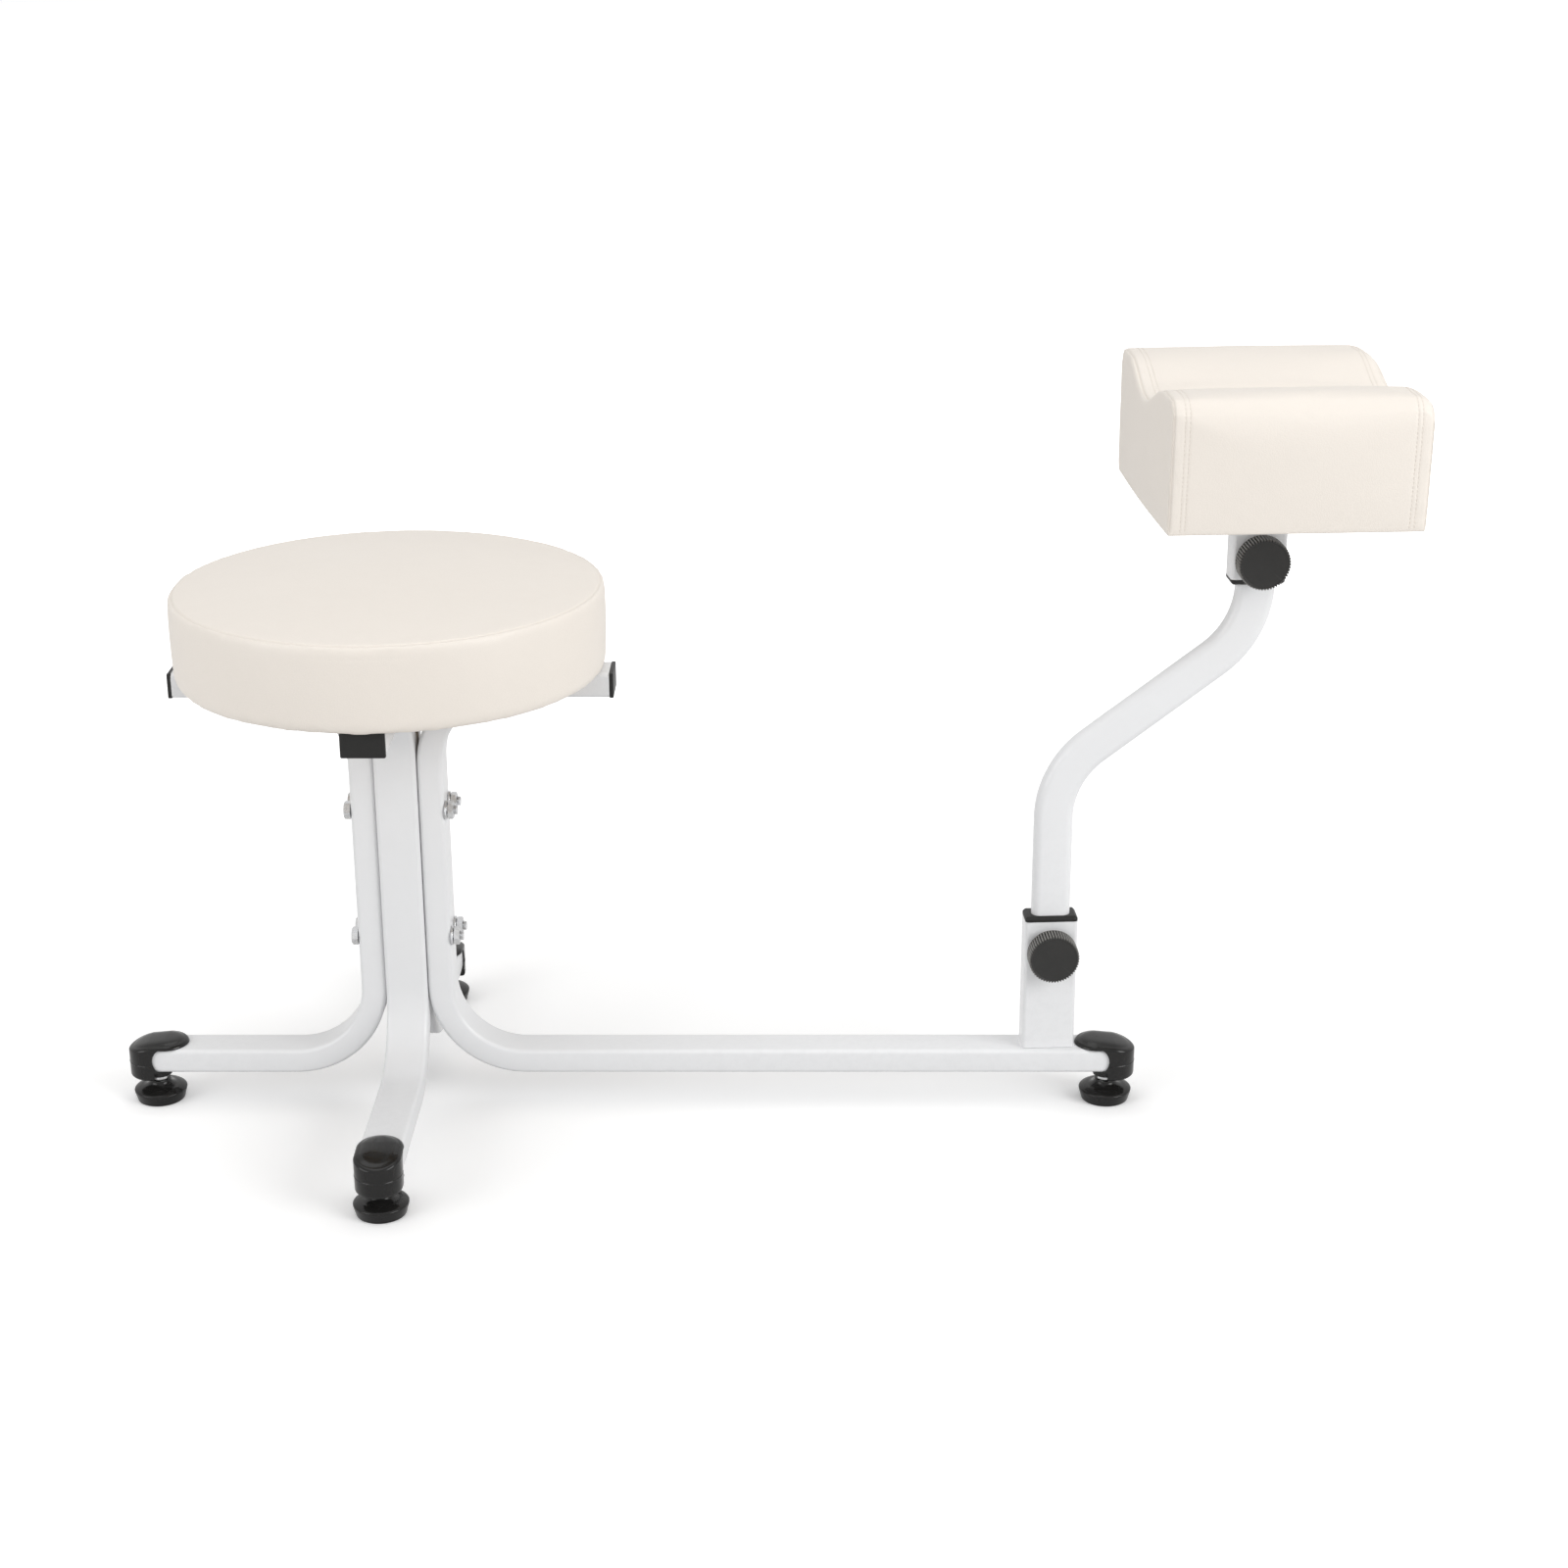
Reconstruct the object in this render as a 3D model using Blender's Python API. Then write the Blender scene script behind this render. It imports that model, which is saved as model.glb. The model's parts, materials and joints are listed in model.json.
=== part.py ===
"""Salon stool with a footrest: a round seat on four bent tubes, and a cushion on a cranked arm.

Metres, +Z up. The part stands on the floor at z = 0, and the origin is the middle of its footprint box.
The long leg runs along +X. Every tube, cap and foot is built in a local frame whose +X points away
from the column, then turned about Z to its side.
"""

import math

import bmesh
import bpy
from mathutils import Matrix, Vector

# Fits shared by the whole part
GAP = 0.0003
OVERRUN = 0.020
HEX_ACROSS = 0.013
SMOOTH_ANGLE = math.radians(35.0)

# Levelling feet and the studs that they turn on
FOOT_HEIGHT = 0.0179
FOOT_RADIUS = 0.022
FOOT_SOLE_INSET = 0.0025
FOOT_RIM_HEIGHT = 0.0095
FOOT_EDGE = 0.0008
FOOT_HIP_INSET = 0.0055
FOOT_HIP_RISE = 0.0019
FOOT_NECK_RADIUS = 0.0087
FOOT_FLANK_STEPS = 4
FOOT_STEPS = 20
LOCK_NUT_HEIGHT = 0.004
LEG_NUT_HEIGHT = 0.005
STUD_RADIUS = 0.004
STUD_HOLE_RADIUS = 0.0043
STUD_HOLE_FLOOR = 0.006
STUD_TOP_CLEARANCE = 0.0025

# Flat oval of the frame tubes, and the shape that all four share
TUBE_WIDTH = 0.034
TUBE_THICKNESS = 0.0205
TUBE_WALL = 0.0015
TUBE_CORNER = 0.0035
BEND_RADIUS = 0.068
SEAT_UNDERSIDE = 0.379
SHORT_FOOT_REACH = 0.1976
LONG_FOOT_REACH = 0.562
TUBE_PAST_FOOT = 0.0105
BEND_STEPS = 6
CORNER_STEPS = 2

# Column bolts: four through all the tubes, two heights
BOLT_RADIUS = 0.004
BOLT_HOLE_RADIUS = 0.0043
BOLT_HEAD_HEIGHT = 0.0053
BOLT_NUT_HEIGHT = 0.005
BOLT_TAIL = 0.0028
WASHER_RADIUS = 0.008
WASHER_THICKNESS = 0.0016
LOWER_BOLT_HEIGHT = 0.152
UPPER_BOLT_HEIGHT = 0.262
BOLT_SIDES = 12

# Plugs in the seat arms
PLUG_HEAD = 0.004
PLUG_DEPTH = 0.014
PLUG_WALL = 0.002
PLUG_BEVEL = 0.001

# Foot caps
CAP_SIDE_WALL = 0.0013
CAP_BOTTOM_WALL = 0.0072
CAP_TOP_WALL = 0.0045
CAP_END_WALL = 0.0127
CAP_LENGTH = 0.0505
CAP_TOP_BEVEL = 0.0032
CAP_BOTTOM_BEVEL = 0.003
CAP_LIP_RADIUS = 0.0105
CAP_MOUTH_APEX = 0.001
CAP_MOUTH_DEPTH = 0.0054
CAP_STEPS = 10
CAP_MOUTH_STEPS = 6

# Seat
SEAT_RADIUS = 0.170
SEAT_FLARE = 0.002
ARM_PAST_SEAT = 0.0033
SEAT_SKIRT = 0.006
SEAT_EDGE_HEIGHT = 0.069
SEAT_CROWN = 0.007
SEAT_HEM_RADIUS = 0.0025
SEAT_BULGE = 0.001
WELT_RADIUS = 0.0014
BOARD_THICKNESS = 0.012
SEAT_STEPS = 48
SEAT_SIDE_STEPS = 5
SEAT_CROWN_STEPS = 6
SEAT_SCREW_INSET = 0.0267
SCREW_RADIUS = 0.003
SCREW_HOLE_RADIUS = 0.0033
SCREW_HEAD_RADIUS = 0.0055
SCREW_HEAD_HEIGHT = 0.0035
SCREW_TIP_CLEARANCE = 0.002

# Cranked flat oval tube, from its foot in the post to its head in the cushion socket
PIPE_WIDTH = 0.0315
PIPE_THICKNESS = 0.0155
PIPE_CORNER = 0.007
PIPE_CORNER_STEPS = 4
PIPE_WALL = 0.0015
PIPE_FOOT_DEPTH = 0.078
PIPE_SHOWN = 0.0833
PIPE_BEND_RADIUS = 0.0765
PIPE_OFFSET = 0.154
PIPE_LEAN = math.radians(52.85)
PIPE_HEAD_DEPTH = 0.044
PIPE_PLUG_HEAD = 0.003
PIPE_PLUG_DEPTH = 0.012
PIPE_PLUG_BEVEL = 0.0008

# Bushings, one in the post and one under the cushion socket
BUSHING_CLEARANCE = 0.0004
BUSHING_END_WALL = 0.0036
BUSHING_SIDE_WALL = 0.0014
BUSHING_FLANGE = 0.0042
BUSHING_CHAMFER = 0.002
BUSHING_SLEEVE = 0.038
BUSHING_STANDOFF = 0.002

# Socket post on the long leg, and the cushion socket of the same rectangular tube
ARM_TURN = math.radians(3.5)
SOCKET_WALL = 0.0015
SOCKET_CORNER = 0.003
POST_HEIGHT = 0.1129
POST_CAP_CLEARANCE = 0.0013
POST_STUD_DROP = 0.0251
HEAD_SPACE = 0.0105
UPPER_STUD_RISE = 0.017

# Clamp knobs and their studs
KNOB_RADIUS = 0.0207
KNOB_DEPTH = 0.015
KNOB_FLUTES = 54
KNOB_FLUTE_DEPTH = 0.001
KNOB_EDGE = 0.0009
KNOB_DISH = 0.0004
KNOB_RING = 0.0022
KNOB_SOCKET = 0.009
WELD_NUT_HEIGHT = 0.0045

# Plate, board and cushion of the footrest
PAD_SHIFT = 0.002
PLATE_SIDE = 0.110
PLATE_THICKNESS = 0.003
PLATE_CORNER = 0.010
PLATE_SCREW_INSET = 0.014
PAD_BOARD_THICKNESS = 0.010
PAD_BOARD_INSET = 0.010
PAD_BOARD_CORNER = 0.006
PAD_SCREW_HEAD_HEIGHT = 0.003
PAD_LENGTH = 0.193
PAD_DEPTH = 0.222
PAD_HEIGHT = 0.103
PAD_TROUGH = 0.020
PAD_RIDGE = 0.037
PAD_EDGE_TOP = 0.014
PAD_EDGE_SIDE = 0.008
PAD_EDGE_LENGTH = 0.012
PAD_DRAW_IN = 0.003
PAD_BULGE = 0.0015
PAD_TROUGH_STEPS = 12
PAD_EDGE_STEPS = 4
PAD_SIDE_STEPS = 4

# Heights that stack up from the floor
LOCK_NUT_BOTTOM = FOOT_HEIGHT + GAP
CAP_BOTTOM = LOCK_NUT_BOTTOM + LOCK_NUT_HEIGHT + GAP
LEG_UNDERSIDE = CAP_BOTTOM + CAP_BOTTOM_WALL + GAP
LEG_TOP = LEG_UNDERSIDE + TUBE_THICKNESS
BOARD_BOTTOM = SEAT_UNDERSIDE + GAP
POST_BOTTOM = LEG_TOP + GAP
POST_TOP = POST_BOTTOM + POST_HEIGHT
POST_STUD_HEIGHT = POST_TOP - POST_STUD_DROP
PIPE_FOOT = POST_TOP - PIPE_FOOT_DEPTH
PIPE_BEND_START = POST_TOP + GAP + BUSHING_FLANGE + PIPE_SHOWN

# Run and rise of one bend of the cranked tube, and of the slope between its two bends
CRANK_RUN = PIPE_BEND_RADIUS * (1 - math.cos(PIPE_LEAN))
CRANK_RISE = PIPE_BEND_RADIUS * math.sin(PIPE_LEAN)
SLOPE_RISE = (PIPE_OFFSET - 2 * CRANK_RUN) / math.tan(PIPE_LEAN)
CRANK_TOP = PIPE_BEND_START + 2 * CRANK_RISE + SLOPE_RISE
UPPER_SOCKET_BOTTOM = CRANK_TOP + BUSHING_STANDOFF + BUSHING_FLANGE + GAP
PIPE_HEAD = UPPER_SOCKET_BOTTOM + PIPE_HEAD_DEPTH
UPPER_SOCKET_TOP = PIPE_HEAD + GAP + PIPE_PLUG_HEAD + HEAD_SPACE
UPPER_STUD_HEIGHT = UPPER_SOCKET_BOTTOM + UPPER_STUD_RISE
PLATE_BOTTOM = UPPER_SOCKET_TOP + GAP
PAD_BOTTOM = PLATE_BOTTOM + PLATE_THICKNESS + GAP

# Widths and places that follow from the sizes above
COLUMN_OFFSET_X = TUBE_WIDTH / 2 + GAP
COLUMN_OFFSET_Y = GAP / 2
COLUMN_HALF_X = COLUMN_OFFSET_X + TUBE_THICKNESS
BOLT_Y = COLUMN_OFFSET_Y + TUBE_THICKNESS / 2
TUBE_BORE_CORNER = max(TUBE_CORNER - TUBE_WALL, GAP)
CAP_WIDTH = TUBE_WIDTH + 2 * (GAP + CAP_SIDE_WALL)
CAP_PAST_FOOT = TUBE_PAST_FOOT + GAP + CAP_END_WALL
SEAT_BASE_RADIUS = SEAT_RADIUS - SEAT_FLARE
BOARD_RADIUS = SEAT_BASE_RADIUS - SEAT_SKIRT
SEAT_SCREW_REACH = BOARD_RADIUS - SEAT_SCREW_INSET
ARM_REACH = SEAT_RADIUS + ARM_PAST_SEAT - COLUMN_OFFSET_X
PAD_TROUGH_HALF_WIDTH = PAD_DEPTH / 2 - PAD_RIDGE
SOCKET_WIDTH = PIPE_WIDTH + 2 * (BUSHING_CLEARANCE + BUSHING_END_WALL + GAP + SOCKET_WALL)
SOCKET_DEPTH = PIPE_THICKNESS + 2 * (BUSHING_CLEARANCE + BUSHING_SIDE_WALL + GAP + SOCKET_WALL)
SOCKET_BORE_CORNER = max(SOCKET_CORNER - SOCKET_WALL, GAP)
LONG_CAP_START = COLUMN_OFFSET_X + LONG_FOOT_REACH + CAP_PAST_FOOT - CAP_LENGTH
POST_HALF_X = (SOCKET_WIDTH * math.cos(ARM_TURN) + SOCKET_DEPTH * math.sin(ARM_TURN)) / 2
SOCKET_REACH = LONG_CAP_START - POST_CAP_CLEARANCE - POST_HALF_X
KNOB_BACK = SOCKET_DEPTH / 2 + WELD_NUT_HEIGHT + GAP

# Sides of the stool: name, turn about Z, distance of the tube's back from the column's middle, foot reach
SIDES = (
    ("right", 0.0, COLUMN_OFFSET_X, LONG_FOOT_REACH),
    ("rear", math.pi / 2, COLUMN_OFFSET_Y, SHORT_FOOT_REACH),
    ("left", math.pi, COLUMN_OFFSET_X, SHORT_FOOT_REACH),
    ("front", -math.pi / 2, COLUMN_OFFSET_Y, SHORT_FOOT_REACH),
)

# Ways a piece that is built along +Z can lie, as its turns about X and Y
UPRIGHT = (0.0, 0.0)
ALONG_X = (0.0, math.pi / 2)
TOWARDS_FRONT = (math.pi / 2, 0.0)

# Finishes: colour, roughness, metallic
WHITE_PAINT = ((0.80, 0.80, 0.82), 0.35, 0.0)
ZINC = ((0.62, 0.63, 0.65), 0.30, 1.0)
BLACK_PLASTIC = ((0.030, 0.029, 0.028), 0.30, 0.0)
BLACK_GRIP = ((0.045, 0.044, 0.042), 0.55, 0.0)
IVORY_VINYL = ((0.86, 0.80, 0.73), 0.50, 0.0)
PLYWOOD = ((0.62, 0.45, 0.27), 0.70, 0.0)


def clear_scene():
    """Empty the scene of the objects it starts with."""
    for old in list(bpy.data.objects):
        bpy.data.objects.remove(old, do_unlink=True)


def principled(name, finish):
    """A Principled material in one of the finishes."""
    colour, roughness, metallic = finish
    made = bpy.data.materials.new(name)
    made.use_nodes = True
    shader = made.node_tree.nodes["Principled BSDF"]
    shader.inputs["Base Color"].default_value = (*colour, 1.0)
    shader.inputs["Roughness"].default_value = roughness
    shader.inputs["Metallic"].default_value = metallic
    return made


def place(name, mesh, finish, location=(0.0, 0.0, 0.0), turn=0.0, parent=None, lie=UPRIGHT):
    """A named object with its own material, laid on its side if asked, turned about Z and set at its place."""
    part = bpy.data.objects.new(name, mesh)
    bpy.context.collection.objects.link(part)
    part.location = location
    part.rotation_euler = (lie[0], lie[1], turn)
    part.parent = parent
    if finish is not None:
        part.data.materials.clear()
        part.data.materials.append(principled(name, finish))
    return part


def finish_mesh(shape, name, smooth=False):
    """Turn a bmesh into a mesh with its faces pointing out."""
    bmesh.ops.recalc_face_normals(shape, faces=shape.faces)
    if shape.calc_volume(signed=True) < 0.0:
        bmesh.ops.reverse_faces(shape, faces=shape.faces)
    mesh = bpy.data.meshes.new(name)
    shape.to_mesh(mesh)
    shape.free()
    if smooth:
        mesh.shade_smooth()
        mesh.set_sharp_from_angle(angle=SMOOTH_ANGLE)
    return mesh


def cutter(name, shape, parent=None, location=(0.0, 0.0, 0.0), turn=0.0):
    """A hidden body that a Boolean takes away."""
    helper = place(name, finish_mesh(shape, name), None, location, turn, parent)
    helper.hide_render = True
    helper.display_type = "WIRE"
    return helper


def join(part, tool):
    """Fuse the tool's body with the part."""
    boolean = part.modifiers.new("join", "BOOLEAN")
    boolean.operation = "UNION"
    boolean.object = tool
    boolean.solver = "EXACT"


def cut(part, tool):
    """Take the tool's body out of the part."""
    boolean = part.modifiers.new("cut", "BOOLEAN")
    boolean.operation = "DIFFERENCE"
    boolean.object = tool
    boolean.solver = "EXACT"


def empty(name, location, turn=0.0):
    """An axis that moving pieces are parented to."""
    axis = bpy.data.objects.new(name, None)
    bpy.context.collection.objects.link(axis)
    axis.location = location
    axis.rotation_euler = (0.0, 0.0, turn)
    return axis


def circle_points(radius, steps, start=0.0, sweep=2 * math.pi, centre=(0.0, 0.0)):
    """Points along an arc. A full turn leaves out its repeated last point."""
    full = math.isclose(sweep, 2 * math.pi)
    count = steps if full else steps + 1
    return [
        (
            centre[0] + radius * math.cos(start + sweep * step / steps),
            centre[1] + radius * math.sin(start + sweep * step / steps),
        )
        for step in range(count)
    ]


def rounded_rectangle(width, height, corner, steps):
    """Outline of a rectangle with round corners, about its middle."""
    points = []
    for quarter, (side_x, side_y) in enumerate(((1, 1), (-1, 1), (-1, -1), (1, -1))):
        centre = (side_x * (width / 2 - corner), side_y * (height / 2 - corner))
        points += circle_points(corner, steps, quarter * math.pi / 2, math.pi / 2, centre)
    return points


def add_prism(shape, outline, low, high):
    """A closed prism on the outline between two heights."""
    base = [shape.verts.new((x, y, low)) for x, y in outline]
    face = shape.faces.new(base)
    grown = bmesh.ops.extrude_face_region(shape, geom=[face])
    raised = [item for item in grown["geom"] if isinstance(item, bmesh.types.BMVert)]
    bmesh.ops.translate(shape, verts=raised, vec=(0.0, 0.0, high - low))


def add_rod(shape, radius, steps, start, end):
    """A closed round or, with few steps, polygonal bar between two points."""
    along = Vector(end) - Vector(start)
    turn = Vector((0.0, 0.0, 1.0)).rotation_difference(along).to_matrix().to_4x4()
    middle = (Vector(start) + Vector(end)) / 2
    bmesh.ops.create_cone(
        shape,
        cap_ends=True,
        segments=steps,
        radius1=radius,
        radius2=radius,
        depth=along.length,
        matrix=Matrix.Translation(middle) @ turn,
    )


def add_ring(shape, outer, inner, low, high):
    """A ring between two outlines with as many points each, about a vertical axis."""
    loops = []
    for outline, height in ((outer, low), (outer, high), (inner, high), (inner, low)):
        loops.append([shape.verts.new((x, y, height)) for x, y in outline])
    bridge(shape, loops, closed=True)


def bridge(shape, loops, closed=False):
    """Join each loop of points to the next with quads."""
    pairs = list(zip(loops, loops[1:]))
    if closed:
        pairs.append((loops[-1], loops[0]))
    for first, second in pairs:
        count = len(first)
        for here in range(count):
            there = (here + 1) % count
            shape.faces.new((first[here], first[there], second[there], second[here]))


def turned(name, profile, steps):
    """A body of revolution about Z from a profile of (radius, height) that runs from axis to axis."""
    shape = bmesh.new()
    line = [shape.verts.new((radius, 0.0, height)) for radius, height in profile]
    edges = [shape.edges.new(pair) for pair in zip(line, line[1:])]
    bmesh.ops.spin(
        shape,
        geom=line + edges,
        cent=(0.0, 0.0, 0.0),
        axis=(0.0, 0.0, 1.0),
        angle=2 * math.pi,
        steps=steps,
        use_merge=True,
        use_duplicate=False,
    )
    bmesh.ops.remove_doubles(shape, verts=shape.verts, dist=GAP / 10)
    return finish_mesh(shape, name, smooth=True)


def hexagon():
    """Outline of the hexagon of the bolts and nuts."""
    return circle_points(HEX_ACROSS / 2 / math.cos(math.pi / 6), 6, math.pi / 6)


def hexagon_in_twelve():
    """The same hexagon with a point in the middle of each flat, to meet a circle of twelve points."""
    outline = []
    for step in range(BOLT_SIDES):
        to_corner = 1.0 if step % 2 else math.cos(math.pi / 6)
        angle = 2 * math.pi * step / BOLT_SIDES
        reach = HEX_ACROSS / 2 / to_corner
        outline.append((reach * math.cos(angle), reach * math.sin(angle)))
    return outline


def nut_mesh(name, hole_radius, low, high):
    """A hexagonal nut with a round hole, about a vertical axis."""
    shape = bmesh.new()
    add_ring(shape, hexagon_in_twelve(), circle_points(hole_radius, BOLT_SIDES), low, high)
    return finish_mesh(shape, name)


def tube_path(foot_reach):
    """Middle line of a frame tube as (outward, height, tilt): arm end, column, foot end."""
    middle = TUBE_THICKNESS / 2
    arm_height = SEAT_UNDERSIDE - middle
    leg_height = LEG_UNDERSIDE + middle
    bend_x = middle + BEND_RADIUS
    path = [(ARM_REACH, arm_height, 0.0)]
    for step in range(BEND_STEPS + 1):
        turn = math.pi / 2 * step / BEND_STEPS
        outward = bend_x - BEND_RADIUS * math.sin(turn)
        path.append((outward, arm_height - BEND_RADIUS * (1 - math.cos(turn)), turn))
    for step in range(BEND_STEPS + 1):
        turn = math.pi / 2 * step / BEND_STEPS
        outward = bend_x - BEND_RADIUS * math.cos(turn)
        path.append((outward, leg_height + BEND_RADIUS * (1 - math.sin(turn)), math.pi / 2 + turn))
    path.append((foot_reach + TUBE_PAST_FOOT, leg_height, math.pi))
    return path


def add_sweep(shape, path, outer, inner):
    """A hollow bar whose two outlines follow a path of (outward, height, tilt)."""
    walls = ([], [])
    for outward, height, tilt in path:
        for wall, outline in zip(walls, (outer, inner)):
            ring = []
            for across, thick in outline:
                point = (outward - thick * math.sin(tilt), across, height + thick * math.cos(tilt))
                ring.append(shape.verts.new(point))
            wall.append(ring)
    skin, bore = walls
    bridge(shape, skin + bore[::-1], closed=True)


def frame_tube_mesh(name, foot_reach):
    """Flat oval tube bent into a square bracket: seat arm, column, leg."""
    shape = bmesh.new()
    outer = rounded_rectangle(TUBE_WIDTH, TUBE_THICKNESS, TUBE_CORNER, CORNER_STEPS)
    inner = rounded_rectangle(
        TUBE_WIDTH - 2 * TUBE_WALL,
        TUBE_THICKNESS - 2 * TUBE_WALL,
        TUBE_BORE_CORNER,
        CORNER_STEPS,
    )
    add_sweep(shape, tube_path(foot_reach), outer, inner)
    return finish_mesh(shape, name, smooth=True)


def side_point(column, turn, reach, height=0.0):
    """A point at a distance from the column's middle, in the direction of one side."""
    return (column + reach * math.cos(turn), reach * math.sin(turn), height)


def frame_holes(column):
    """Everything drilled through the frame tubes: column bolts, seat screws and levelling studs."""
    shape = bmesh.new()
    for height in (LOWER_BOLT_HEIGHT, UPPER_BOLT_HEIGHT):
        for side in (-1, 1):
            ends = [(column + end * (COLUMN_HALF_X + OVERRUN), side * BOLT_Y, height) for end in (-1, 1)]
            add_rod(shape, BOLT_HOLE_RADIUS, BOLT_SIDES, *ends)
    for _, turn, offset, foot_reach in SIDES:
        screw = side_point(column, turn, SEAT_SCREW_REACH)
        low = (screw[0], screw[1], SEAT_UNDERSIDE - TUBE_THICKNESS - OVERRUN)
        high = (screw[0], screw[1], SEAT_UNDERSIDE + OVERRUN)
        add_rod(shape, SCREW_HOLE_RADIUS, BOLT_SIDES, low, high)
        foot = side_point(column, turn, offset + foot_reach)
        low = (foot[0], foot[1], LEG_UNDERSIDE - OVERRUN)
        high = (foot[0], foot[1], LEG_UNDERSIDE + TUBE_THICKNESS / 2)
        add_rod(shape, STUD_HOLE_RADIUS, BOLT_SIDES, low, high)
    return cutter("frame_holes", shape)


def make_frame(column):
    """Four bent tubes bolted back to back round the column's middle, each with a nut welded in its leg."""
    holes = frame_holes(column)
    for side, turn, offset, foot_reach in SIDES:
        spot = side_point(column, turn, offset)
        mesh = frame_tube_mesh("frame_tube", foot_reach)
        tube = place(f"frame_tube_{side}", mesh, WHITE_PAINT, spot, turn)
        nut = bmesh.new()
        low = LEG_UNDERSIDE + TUBE_WALL / 2
        high = LEG_UNDERSIDE + TUBE_WALL + LEG_NUT_HEIGHT
        add_prism(nut, hexagon(), low, high)
        nut_spot = side_point(column, turn, offset + foot_reach)
        join(tube, cutter(f"leg_nut_{side}", nut, None, nut_spot, turn))
        cut(tube, holes)


def make_frame_bolts(column):
    """Hexagon bolts through the column, each with its washer and nut on the right."""
    seat = COLUMN_HALF_X + GAP
    nut_low = seat + WASHER_THICKNESS + GAP
    nut_high = nut_low + BOLT_NUT_HEIGHT
    head = hexagon_in_twelve()
    head_low = -seat - BOLT_HEAD_HEIGHT
    tip = nut_high + BOLT_TAIL
    washer = bmesh.new()
    washer_rim = circle_points(WASHER_RADIUS, BOLT_SIDES)
    washer_hole = circle_points(BOLT_HOLE_RADIUS, BOLT_SIDES)
    add_ring(washer, washer_rim, washer_hole, seat, seat + WASHER_THICKNESS)
    kinds = (
        ("frame_bolt", bolt_mesh("frame_bolt", head, BOLT_RADIUS, head_low, -seat, tip)),
        ("frame_washer", finish_mesh(washer, "frame_washer")),
        ("frame_nut", nut_mesh("frame_nut", BOLT_HOLE_RADIUS, nut_low, nut_high)),
    )
    heights = (LOWER_BOLT_HEIGHT, UPPER_BOLT_HEIGHT)
    spots = [(side * BOLT_Y, height) for height in heights for side in (-1, 1)]
    for number, (across, height) in enumerate(spots, start=1):
        for kind, mesh in kinds:
            place(f"{kind}_{number}", mesh.copy(), ZINC, (column, across, height), lie=ALONG_X)


def bolt_mesh(name, head, radius, head_low, head_high, tip):
    """A bolt in one piece that points up: a head on an outline of twelve points, then a round shank."""
    shape = bmesh.new()
    shank = circle_points(radius, BOLT_SIDES)
    rings = ((head, head_low), (head, head_high), (shank, head_high), (shank, tip))
    loops = [[shape.verts.new((x, y, height)) for x, y in ring] for ring, height in rings]
    bridge(shape, loops)
    shape.faces.new(loops[0])
    shape.faces.new(loops[-1])
    return finish_mesh(shape, name)


def make_arm_plugs(column):
    """Black plastic plugs that close the seat arms, with a hollow insert."""
    insert_width = TUBE_WIDTH - 2 * (TUBE_WALL + GAP)
    insert_thickness = TUBE_THICKNESS - 2 * (TUBE_WALL + GAP)
    head = rounded_rectangle(TUBE_THICKNESS, TUBE_WIDTH, TUBE_CORNER, CORNER_STEPS)
    inner = rounded_rectangle(insert_thickness, insert_width, TUBE_BORE_CORNER, CORNER_STEPS)
    cup = rounded_rectangle(
        insert_thickness - 2 * PLUG_WALL,
        insert_width - 2 * PLUG_WALL,
        TUBE_BORE_CORNER / 2,
        CORNER_STEPS,
    )
    rim = rounded_rectangle(
        TUBE_THICKNESS - 2 * PLUG_BEVEL,
        TUBE_WIDTH - 2 * PLUG_BEVEL,
        TUBE_CORNER - PLUG_BEVEL,
        CORNER_STEPS,
    )
    for side, turn, offset, _ in SIDES:
        shape = bmesh.new()
        rings = (
            (cup, 0.0),
            (cup, -PLUG_DEPTH),
            (inner, -PLUG_DEPTH),
            (inner, 0.0),
            (head, 0.0),
            (head, PLUG_HEAD - PLUG_BEVEL),
            (rim, PLUG_HEAD),
        )
        loops = [[shape.verts.new((depth, y, -z)) for z, y in ring] for ring, depth in rings]
        bridge(shape, loops)
        shape.faces.new(loops[0])
        shape.faces.new(loops[-1])
        height = SEAT_UNDERSIDE - TUBE_THICKNESS / 2
        spot = side_point(column, turn, offset + ARM_REACH + GAP, height)
        place(f"arm_plug_{side}", finish_mesh(shape, "arm_plug"), BLACK_PLASTIC, spot, turn)


def stadium(length, width, outer_end, steps):
    """Outline with two half-round ends, its outer end at +X."""
    radius = width / 2
    outer = circle_points(radius, steps, -math.pi / 2, math.pi, (outer_end - radius, 0.0))
    inner_x = outer_end - length + radius
    return outer + circle_points(radius, steps, math.pi / 2, math.pi, (inner_x, 0.0))


def foot_cap_mesh():
    """Oval cap with a rounded top and bottom edge."""
    shape = bmesh.new()
    top = LEG_TOP + CAP_TOP_WALL
    outline = stadium(CAP_LENGTH, CAP_WIDTH, CAP_PAST_FOOT, CAP_STEPS)
    add_prism(shape, outline, CAP_BOTTOM, top)
    for height, width in ((top, CAP_TOP_BEVEL), (CAP_BOTTOM, CAP_BOTTOM_BEVEL)):
        rim = [
            edge
            for edge in shape.edges
            if all(math.isclose(vert.co.z, height, abs_tol=GAP) for vert in edge.verts)
        ]
        bmesh.ops.bevel(
            shape, geom=rim, offset=width, segments=2, profile=0.5, affect="EDGES", material=-1
        )
    return finish_mesh(shape, "foot_cap", smooth=True)


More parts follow.
